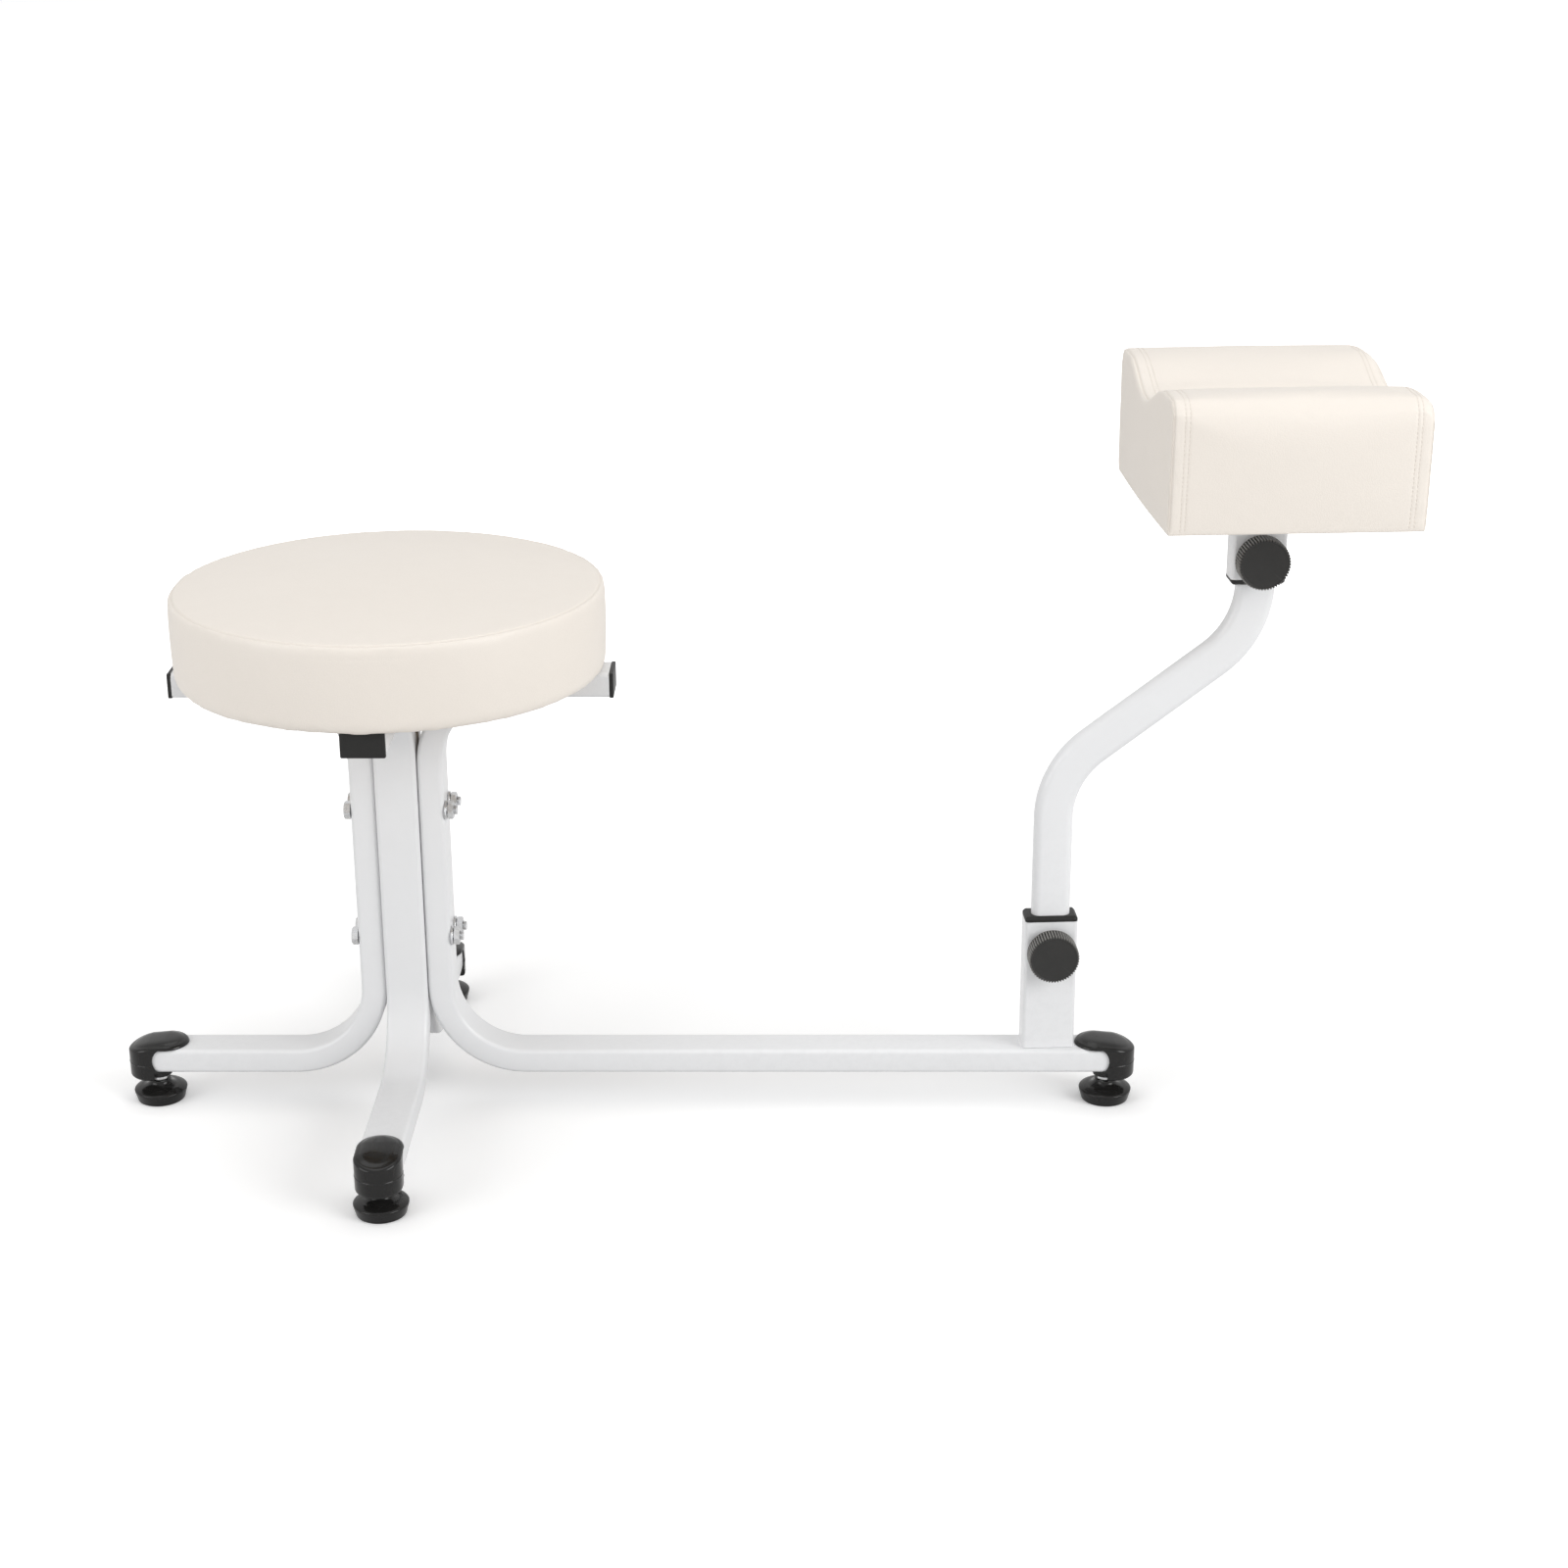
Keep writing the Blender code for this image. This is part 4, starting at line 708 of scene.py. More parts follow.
    def thread(self, radius: float, pitch: float, length: float, steps: int = 20) -> None:
        """A threaded rod along +Z from the origin.

        Args:
            radius: Outer radius of the thread.
            pitch: Rise of one turn.
            length: Length of the rod.
            steps: Segments of one turn.
        """
        count = 2 * int(length / pitch + 4)
        line = []
        for point in range(count):
            depth = 0.6 * pitch if point % 2 else 0.0
            line.append(self.mesh.verts.new((radius - depth, 0.0, (point / 2 - 2) * pitch)))
        edges = [self.mesh.edges.new(pair) for pair in zip(line, line[1:])]
        bmesh.ops.spin(
            self.mesh, geom=line + edges, cent=(0.0, 0.0, 0.0), axis=(0.0, 0.0, 1.0), angle=2 * math.pi,
            dvec=(0.0, 0.0, pitch / steps), steps=steps, use_merge=False, use_duplicate=False,
        )
        bmesh.ops.remove_doubles(self.mesh, verts=self.mesh.verts[:], dist=MERGE)
        for height, sign in ((0.0, -1.0), (length, 1.0)):
            self.slice((0.0, 0.0, height), (0.0, 0.0, sign), dist=MERGE / 10, clear_outer=True)
        bmesh.ops.holes_fill(self.mesh, edges=[edge for edge in self.mesh.edges if edge.is_boundary], sides=0)

    def round_edges(self, chosen: Callable[[Edge], bool], width: float, steps: int = 4) -> None:
        """Bevel the edges that a test picks.

        Args:
            chosen: Test of one edge.
            width: Width of the bevel.
            steps: Its segments.
        """
        edges = [edge for edge in self.mesh.edges if chosen(edge)]
        bmesh.ops.bevel(
            self.mesh, geom=edges, offset=width, offset_type="OFFSET", segments=steps, profile=0.5,
            affect="EDGES", clamp_overlap=True, material=-1,
        )

    def transform(self, matrix: Matrix) -> None:
        """Move the whole shape."""
        bmesh.ops.transform(self.mesh, matrix=matrix, verts=self.mesh.verts[:])

    def each(self, move: Callable[[Vector], Vector]) -> None:
        """Move every vertex by a rule."""
        for vert in self.mesh.verts:
            vert.co = move(vert.co)

    def body(self, name: str) -> Piece:
        """Close the shape and make it an object.

        Args:
            name: Name of the object.

        Returns:
            The object, at the origin, with its faces pointing out.
        """
        bmesh.ops.remove_doubles(self.mesh, verts=self.mesh.verts[:], dist=MERGE)
        bmesh.ops.recalc_face_normals(self.mesh, faces=self.mesh.faces[:])
        return linked(name, self.mesh)


def linked(name: str, mesh: bmesh.types.BMesh) -> Piece:
    """Make an object of a mesh, put it in the scene and free the mesh."""
    data = bpy.data.meshes.new(name)
    mesh.to_mesh(data)
    mesh.free()
    made = bpy.data.objects.new(name, data)
    bpy.context.scene.collection.objects.link(made)
    return made


def discard(piece: Piece) -> None:
    """Delete an object and its mesh."""
    data = piece.data
    bpy.data.objects.remove(piece)
    bpy.data.meshes.remove(data)


def level(height: float) -> Callable[[Edge], bool]:
    """Test for edges that lie flat at one height."""
    return lambda edge: all(abs(vert.co.z - height) < MERGE for vert in edge.verts)


def applied(piece: Piece) -> Piece:
    """Make a piece's modifiers part of its mesh."""
    bpy.context.view_layer.update()
    graph = bpy.context.evaluated_depsgraph_get()
    data = bpy.data.meshes.new_from_object(piece.evaluated_get(graph))
    old = piece.data
    piece.modifiers.clear()
    piece.data = data
    bpy.data.meshes.remove(old)
    return piece


def combined(piece: Piece, tool: Piece, how: Cut) -> Piece:
    """Shape a piece with a tool, which is then removed.

    Args:
        piece: The piece that keeps its name.
        tool: The other body.
        how: Whether the tool is cut away, or only the shared space stays.

    Returns:
        The piece.
    """
    boolean = piece.modifiers.new("Cut", "BOOLEAN")
    boolean.operation, boolean.solver, boolean.object = how.value, "EXACT", tool
    applied(piece)
    discard(tool)
    return piece


def straight(name: str, draw: Callable[[Shape], Face], place: Matrix, by: Sequence[float]) -> Piece:
    """A straight body grown from one face.

    Args:
        name: Name of the body.
        draw: Draws the face in the XY plane.
        place: Where the face goes.
        by: How far it is extruded.

    Returns:
        The body.
    """
    shape = Shape()
    shape.prism(draw(shape), place, by)
    return shape.body(name)


def cut(piece: Piece, draw: Callable[[Shape], Face], place: Matrix, by: Sequence[float]) -> Piece:
    """Cut a straight body, given as for straight, away from a piece."""
    return combined(piece, straight("tool", draw, place, by), Cut.AWAY)


def joined(piece: Piece, others: Iterable[Piece]) -> Piece:
    """Put other bodies' meshes into a piece, which keeps its name."""
    mesh = bmesh.new()
    mesh.from_mesh(piece.data)
    for other in others:
        mesh.from_mesh(other.data)
        discard(other)
    mesh.to_mesh(piece.data)
    mesh.free()
    return piece


def fitted(
    piece: Piece, finish: Finish, body: str, nodes: Sequence[str] = (), sharp: float = 35.0
) -> Piece:
    """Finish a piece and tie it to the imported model.

    Args:
        piece: The piece, in place.
        finish: Its finish.
        body: The body that it moves with.
        nodes: Nodes that it stands for.
        sharp: Angle past which an edge stays sharp, in degrees.

    Returns:
        The piece.
    """
    piece.data.shade_smooth()
    piece.data.set_sharp_from_angle(angle=math.radians(sharp))
    piece.data.materials.clear()
    piece.data.materials.append(finish.material())
    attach(piece, body)
    if nodes:
        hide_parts(*nodes)
    LOG.info("%s: %d faces on %s", piece.name, len(piece.data.polygons), body)
    return piece


def weld_bead(path: Sequence[Vector], radius: float, seed: float) -> Shape:
    """An uneven bead of weld along a line.

    Args:
        path: Points along the bead.
        radius: Its usual radius.
        seed: Where its unevenness is read.

    Returns:
        The bead's shape.
    """
    bead = Shape()
    start, second = Vector(path[0]), Vector(path[1])
    face = bead.disc(radius * 0.4, 10)
    turn = (second - start).to_track_quat("Z", "Y").to_matrix().to_4x4()
    bead.place(face, at(start) @ turn)
    count = len(path)
    for number in range(1, count):
        step = Vector(path[number]) - Vector(path[number - 1])
        ripple = 1 + 0.16 * noise.noise(Vector((seed, number * 0.7, 0.0))) + 0.07 * (number % 3 - 1)
        wanted = radius * ripple * (0.5 if number in (0, count - 1) else 1.0)
        middle = sum((vert.co for vert in face.verts), Vector()) / len(face.verts)
        now = (face.verts[0].co - middle).length
        face = bead.grow(face, step, wanted / now)
    return bead


# Bought parts


@dataclass
class Fastener:
    """Metric fasteners of eight millimetres, with their hexagons."""

    radius: float = 0.004
    pitch: float = 0.00125
    across: float = 0.013
    hole: float = STUD_HOLE

    def hexagon(self, name: str, height: float, bore: bool) -> Piece:
        """A chamfered hexagon along +Z from the origin.

        Args:
            name: Name of the object.
            height: Its height.
            bore: Whether it has a countersunk bore, as a nut.

        Returns:
            The object.
        """
        block = Shape()
        block.grow(block.disc(self.across / math.sqrt(3), 6), (0.0, 0.0, height))
        made = block.body(name)
        wide, drop = self.across / math.sqrt(3) + GAP, 0.0011
        flat = self.across / 2 * 0.97
        low = [(flat, 0.0, 0.0), (wide, drop, 0.0)] if bore else [(wide, 0.0, 0.0)]
        high = [(wide, height - drop, 0.0), (flat, height, 0.0)]
        if bore:
            edge = self.radius * 1.12
            inner = [(edge, height, 0.0), (self.radius, height - 0.0006, 0.0)]
            inner += [(self.radius, 0.0006, 0.0), (edge, 0.0, 0.0)]
        else:
            inner = [(0.0, height, 0.0), (0.0, 0.0, 0.0)]
        tool = Shape()
        tool.turned(low + high + inner, 48)
        return combined(made, tool.body("hexagon_tool"), Cut.SHARED)

    def loose_nut(self, name: str, height: float) -> Piece:
        """A nut whose bore clears the thread of the stud in it."""
        nut = self.hexagon(name, height, True)
        widen = self.hole / self.radius
        for vert in nut.data.vertices:
            if math.hypot(vert.co.x, vert.co.y) < self.across * 0.4:
                vert.co.x, vert.co.y = vert.co.x * widen, vert.co.y * widen
        return nut

    def rod(self, name: str, start: Vector, end: Vector) -> Piece:
        """A threaded rod from one point to another."""
        rod = Shape()
        rod.thread(self.radius, self.pitch, (end - start).length)
        rod.transform(at(start) @ (end - start).to_track_quat("Z", "Y").to_matrix().to_4x4())
        return rod.body(name)

    def pan_screw(self, name: str, spot: Vector, length: float, head: float) -> Piece:
        """A pan head screw that points up, with a cross recess in its head.

        Args:
            name: Name of the object.
            spot: Middle of the head's upper face.
            length: Length of the shank.
            head: Height of the head.

        Returns:
            The object.
        """
        body = Shape()
        pan = [(0.0, -head, 0.0), (0.0035, -head, 0.0008), (0.0055, -head * 0.45, 0.0006), (0.0055, 0.0, 0.0)]
        shank = [(0.003, 0.0, 0.0), (0.003, length - 0.003, 0.0), (0.0, length, 0.0)]
        body.turned(pan + shank, 28)
        body.transform(at(spot))
        made = body.body(name)
        below = at(spot - Vector((0.0, 0.0, head + 0.001)))
        for width, depth in ((0.0042, 0.001), (0.001, 0.0042)):
            cut(made, lambda tool: tool.rectangle(width, depth), below, (0.0, 0.0, 0.0024))
        return made


# Stool frame


@dataclass
class BentTube:
    """One flat oval tube of the frame: seat arm, column and leg in one."""

    side: Side
    width: float = TUBE_WIDTH
    thickness: float = 0.0205
    corner: float = 0.0035
    wall: float = 0.0015
    bend: float = 0.068
    arm_reach: float = 0.156
    seat_underside: float = 0.379
    leg_underside: float = 0.0300
    past_foot: float = 0.0105
    plug_head: float = 0.0030
    plug_corner: float = 0.0012
    plug_depth: float = 0.014

    def __post_init__(self) -> None:
        """Read the leg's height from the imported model."""
        self.leg_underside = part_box(f"frame_tube_{self.side.label}")[0].z

    @property
    def name(self) -> str:
        """Name of the tube's node."""
        return f"frame_tube_{self.side.label}"

    def tube(self) -> Piece:
        """Sweep the tube from the arm's end to the leg's end."""
        half = self.thickness / 2
        arm, leg, run = self.seat_underside - half, self.leg_underside + half, half + self.bend
        end = self.side.foot + self.past_foot
        shape = Shape()
        first = shape.rectangle(self.thickness, self.width, self.corner, 6)
        arm_end = at((self.arm_reach, 0.0, arm)) @ TO_RIGHT
        face = shape.prism(first, arm_end, (run - self.arm_reach, 0.0, 0.0))
        face = shape.bend(face, (run, 0.0, arm - self.bend), -math.pi / 2, 28)
        face = shape.grow(face, (0.0, 0.0, leg + self.bend - (arm - self.bend)))
        face = shape.bend(face, (run, 0.0, leg + self.bend), -math.pi / 2, 28)
        face = shape.grow(face, (end - run, 0.0, 0.0))
        shape.recess(face, self.wall, (-0.030, 0.0, 0.0))
        shape.recess(first, self.wall, (-self.plug_depth - 0.003, 0.0, 0.0))
        made = shape.body(self.name + "_bent")
        below = at((self.side.foot, 0.0, self.leg_underside - OVER))
        cut(made, lambda tool: tool.disc(STUD_HOLE, 24), below, (0.0, 0.0, OVER + half))
        made.data.transform(self.side.frame())
        return fitted(made, WHITE_PAINT, "base", [self.name])

    def plug(self) -> Piece:
        """Plug with a pillowed head that closes the arm's end."""
        less = 2 * (self.wall + GAP)
        place = at((self.arm_reach + GAP, 0.0, self.seat_underside - self.thickness / 2)) @ TO_RIGHT
        body = straight(
            f"arm_plug_{self.side.label}_moulded",
            lambda item: item.rectangle(self.thickness - less, self.width - less, self.corner - self.wall, 6),
            place, (-self.plug_depth, 0.0, 0.0),
        )
        head = Shape()
        outer = head.rectangle(self.thickness, self.width, self.plug_corner, 4)
        head.prism(outer, place, (self.plug_head, 0.0, 0.0))
        front = self.arm_reach + GAP + self.plug_head
        head.round_edges(lambda edge: all(abs(vert.co.x - front) < MERGE for vert in edge.verts), 0.0008, 4)
        joined(body, [head.body("plug_head")])
        body.data.transform(self.side.frame())
        return fitted(body, PLUG_PLASTIC, "base", [f"arm_plug_{self.side.label}"])


@dataclass
class ColumnBolts:
    """Four hexagon bolts through the column, with washers and nuts on the right."""

    stock: Fastener
    head: float = 0.0053
    washer: float = 0.0016
    nut: float = 0.005

    def build(self) -> None:
        """Make every bolt, washer and nut."""
        for number in range(1, 5):
            low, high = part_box(f"frame_bolt_{number}")
            line = Vector((0.0, (low.y + high.y) / 2, (low.z + high.z) / 2))
            head = self.stock.hexagon(f"column_bolt_{number}", self.head, False)
            under_head = line + Vector((low.x + self.head, 0.0, 0.0))
            head.data.transform(at(under_head) @ TO_LEFT)
            tip = line + Vector((high.x, 0.0, 0.0))
            shank = self.stock.rod("shank", under_head - Vector((GAP, 0.0, 0.0)), tip)
            fitted(joined(head, [shank]), ZINC, "base", [f"frame_bolt_{number}"])
            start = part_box(f"frame_nut_{number}")[0]
            nut = self.stock.hexagon(f"column_nut_{number}", self.nut, True)
            nut.data.transform(at(line + Vector((start.x, 0.0, 0.0))) @ TO_RIGHT)
            fitted(nut, ZINC, "base", [f"frame_nut_{number}"])
            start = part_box(f"frame_washer_{number}")[0]
            ring = Shape()
            hole = self.stock.hole
            outer = [(hole, 0.0, 0.0), (0.008, 0.0, 0.0003), (0.008, self.washer, 0.0005)]
            ring.turned([*outer, (hole, self.washer, 0.0)], 40)
            ring.transform(at(line + Vector((start.x, 0.0, 0.0))) @ TO_RIGHT)
            fitted(ring.body(f"column_washer_{number}"), ZINC, "base", [f"frame_washer_{number}"], 25.0)


@dataclass
class FootCap:
    """Glossy cap over a leg's end: a domed leaf above, a curled lip below, an open mouth between them."""

    side: Side
    tube: BentTube
    length: float = 0.0505
    width: float = 0.0372
    past_foot: float = 0.0235
    lip: float = 0.0105
    mouth_depth: float = 0.0054
    mouth_apex: float = 0.001
    parting: float = 0.0362
    fall: float = 0.0066
    fall_length: float = 0.032
    fall_depth: float = 0.012

    def moulded(self, spot: Vector, high: float) -> Vector:
        """Let the top fall off at the outer end, and raise the parting line.

        Args:
            spot: A point of the plain cap.
            high: Height of the cap's top.

        Returns:
            Where the point goes.
        """
        outer = max(0.0, spot.x - self.past_foot + self.fall_length) / self.fall_length
        share = max(0.0, (spot.z - high + self.fall_depth) / self.fall_depth)
        spot = spot - Vector((0.0, 0.0, self.fall * outer**1.8 * share))
        if abs(spot.z - self.parting) < MERGE:
            middle_x = self.past_foot - self.length / 2
            spot = Vector((middle_x + (spot.x - middle_x) * 1.010, spot.y * 1.014, spot.z))
        return spot

    def build(self) -> Piece:
        """Mould the cap."""
        label = self.side.label
        low, high = (corner.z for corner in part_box(f"foot_cap_{label}"))
        shape = Shape()
        middle_of_cap = at((self.past_foot - self.length / 2, 0.0, low))
        shape.prism(shape.oval(self.length, self.width, 72), middle_of_cap, (0.0, 0.0, high - low - 0.0012))
        shape.round_edges(level(high - 0.0012), 0.0036, 8)
        shape.round_edges(level(low), 0.003, 5)
        crown = max(shape.mesh.faces, key=lambda item: item.calc_center_median().z)
        for step in range(9):
            bmesh.ops.inset_region(shape.mesh, faces=[crown], thickness=0.0017, use_even_offset=True)
            bmesh.ops.translate(shape.mesh, verts=crown.verts[:], vec=(0.0, 0.0, 0.0010 * 0.55 ** step))
        for offset in (-0.0004, 0.0, 0.0004):
            shape.slice((0.0, 0.0, self.parting + offset), (0.0, 0.0, 1.0), dist=MERGE)
        shape.each(lambda spot: self.moulded(spot, high))
        cap = shape.body(f"foot_cap_{label}_moulded")
        leg = self.tube.leg_underside
        centre, rise = leg + self.tube.thickness / 2, self.tube.thickness / 2 + GAP
        inner, half = self.tube.past_foot + GAP, self.tube.width / 2 + GAP
        cut(
            cap, lambda item: item.rectangle(2 * rise, 2 * half, self.tube.corner, 6),
            at((inner, 0.0, centre)) @ TO_RIGHT, (-self.length - OVER - inner, 0.0, 0.0),
        )
        radius = (rise**2 + self.mouth_depth**2) / (2 * self.mouth_depth)
        through = (0.0, -2 * self.width, 0.0)
        round_place = at((self.mouth_apex - radius, self.width, centre)) @ TO_FRONT
        mouth = straight("mouth", lambda item: item.disc(radius, 96), round_place, through)
        flat_place = at((0.0, self.width, centre)) @ TO_FRONT
        ahead = straight("ahead", lambda item: item.rectangle(4 * radius, 2 * rise), flat_place, through)
        combined(cap, combined(mouth, ahead, Cut.SHARED), Cut.AWAY)
        upward = (0.0, 0.0, leg - low + OVER)
        relief = straight(
            "relief", lambda item: item.rectangle(2 * self.length, 2 * self.width),
            at((-self.length, 0.0, low - OVER)), upward,
        )
        lip_place = at((0.0, 0.0, low - 2 * OVER))
        cut(relief, lambda item: item.disc(self.lip, 48), lip_place, (0.0, 0.0, 4 * OVER))
        combined(cap, relief, Cut.AWAY)
        cut(cap, lambda item: item.disc(STUD_HOLE, 24), at((0.0, 0.0, low - OVER)), upward)
        cap.data.transform(self.side.frame(self.side.foot))
        return fitted(cap, CAP_PLASTIC, "base", [f"foot_cap_{label}"], 32.0)


@dataclass
class LevellingFoot:
    """Levelling foot: a moulded sole on a threaded stud, with a thin lock nut."""

    side: Side
    stock: Fastener
    radius: float = 0.022
    rim: float = 0.0095
    neck: float = 0.0087
    height: float = 0.0179
    floor: float = 0.006
    nut: float = 0.004

    def flank(self) -> list[tuple[float, float, float]]:
        """Hollow flank from the hip up to the neck."""
        hip_radius, hip_height = self.radius - 0.0055, self.rim + 0.0027
        points = []
        for step in range(11):
            turn = math.pi / 2 * step / 10
            radius = hip_radius + (self.neck - hip_radius) * math.sin(turn)
            points.append((radius, hip_height + (self.height - hip_height) * (1 - math.cos(turn)), 0.0))
        return points

    def build(self) -> None:
        """Make the foot, its stud and its lock nut."""
        label = self.side.label
        spot = self.side.frame(self.side.foot)
        sole = Shape()
        sole.turned(
            [
                (0.0, 0.0, 0.0), (self.radius - 0.0025, 0.0, 0.0007),
                (self.radius - 0.0002, self.rim - 0.0012, 0.0006),
                (self.radius - 0.0002, self.rim, 0.0004), (self.radius - 0.0012, self.rim + 0.0009, 0.0004),
                *self.flank(), (self.stock.hole, self.height, 0.0003), (self.stock.hole, self.floor, 0.0),
                (0.0, self.floor, 0.0),
            ],
            72,
        )
        sole.transform(spot)
        moulded = sole.body(f"levelling_foot_{label}_moulded")
        fitted(moulded, CAP_PLASTIC, f"foot_{label}", [f"levelling_foot_{label}"], 40.0)
        low, high = (corner.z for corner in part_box(f"foot_stud_{label}"))
        axis = spot.translation.xy
        start, end = Vector((*axis, low)), Vector((*axis, high))
        stud = self.stock.rod(f"foot_stud_{label}_threaded", start, end)
        fitted(stud, ZINC, f"foot_{label}_stud", [f"foot_stud_{label}"])
        nut = self.stock.loose_nut(f"lock_nut_{label}", self.nut)
        nut.data.transform(self.side.frame(self.side.foot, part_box(f"foot_lock_nut_{label}")[0].z))
        fitted(nut, ZINC, "base", [f"foot_lock_nut_{label}"])


# Cushions


@dataclass
class Cloth:
    """Inflates a closed skin a little, as stuffing does, and holds it along its seams."""

    voxel: float
    pressure: float
    most: float
    frames: int = 20

    def remeshed(self, piece: Piece) -> Piece:
        """Give the skin even faces."""
        remesh = piece.modifiers.new("Even", "REMESH")
        remesh.mode, remesh.voxel_size, remesh.adaptivity = "VOXEL", self.voxel, 0.0
        return applied(piece)

    def inflated(self, piece: Piece, held: Predicate) -> Piece:
        """Run the cloth and keep what it does within bounds.

        Args:
            piece: The skin.
            held: Test of the points that seams and boards hold.

        Returns:
            The skin, swollen and with one subdivision.
        """
        start = [vert.co.copy() for vert in piece.data.vertices]
        group = piece.vertex_groups.new(name="held")
        group.add([number for number, spot in enumerate(start) if held(spot)], 1.0, "REPLACE")
        cloth = piece.modifiers.new("Cloth", "CLOTH")
        settings = cloth.settings
        settings.use_pressure = True
        settings.uniform_pressure_force = self.pressure
        settings.effector_weights.gravity = 0.0
        settings.quality = 6
        settings.tension_stiffness = settings.compression_stiffness = 25.0
        settings.bending_stiffness = 0.8
        settings.vertex_group_mass = "held"
        cloth.collision_settings.use_collision = False
        scene = bpy.context.scene
        scene.frame_start, scene.frame_end = 1, self.frames
        cloth.point_cache.frame_start, cloth.point_cache.frame_end = 1, self.frames
        for number in range(1, self.frames + 1):
            scene.frame_set(number)
        applied(piece)
        scene.frame_set(1)
        piece.vertex_groups.clear()
        moved = [vert.co - spot for vert, spot in zip(piece.data.vertices, start)]
        LOG.info("%s: cloth moved up to %.1f mm", piece.name, 1000 * max(step.length for step in moved))
        for vert, spot, step in zip(piece.data.vertices, start, moved):
            if step.length > self.most:
                step = step * (self.most / step.length)
            vert.co = spot + step
        finer = piece.modifiers.new("Finer", "SUBSURF")
        finer.levels = finer.render_levels = 1
        return applied(piece)


def paint_seam_shade(piece: Piece, shade: Callable[[Vector], float]) -> None:
    """Store painted shade for the seam grooves: how near each point lies to a seam, which darkens the vinyl's
    colour.

    Args:
        piece: The skin.
        shade: Gives 0 away from seams and 1 in them.
    """
    values = [shade(vert.co) for vert in piece.data.vertices]
    piece.data.attributes.new("seam", "FLOAT", "POINT").data.foreach_set("value", values)


def stitches(name: str, path: Sequence[tuple[Vector, Vector]], pitch: float = 0.0034) -> Piece:
    """A row of stitches along a line on a skin.

    Args:
        name: Name of the object.
        path: Points on the skin, each with the skin's normal.
        pitch: Distance from stitch to stitch.

    Returns:
        The stitches as one object.
    """
    mesh = bmesh.new()
    travelled, wanted = 0.0, pitch / 2
    for (here, normal), (after, _) in zip(path, path[1:]):
        step = after - here
        while step.length and travelled + step.length >= wanted:
            spot = here + step * ((wanted - travelled) / step.length)
            along = step.normalized()
            side = normal.cross(along).normalized()
            turn = Matrix((along, side, along.cross(side))).transposed().to_4x4()
            size = Matrix.Diagonal((pitch * 0.42, 0.00030, 0.00026, 1.0))
            bmesh.ops.create_uvsphere(
                mesh, u_segments=6, v_segments=5, radius=1.0,
                matrix=at(spot + normal * 0.00008) @ turn @ size,
            )
            wanted += pitch
        travelled += step.length
    return linked(name, mesh)


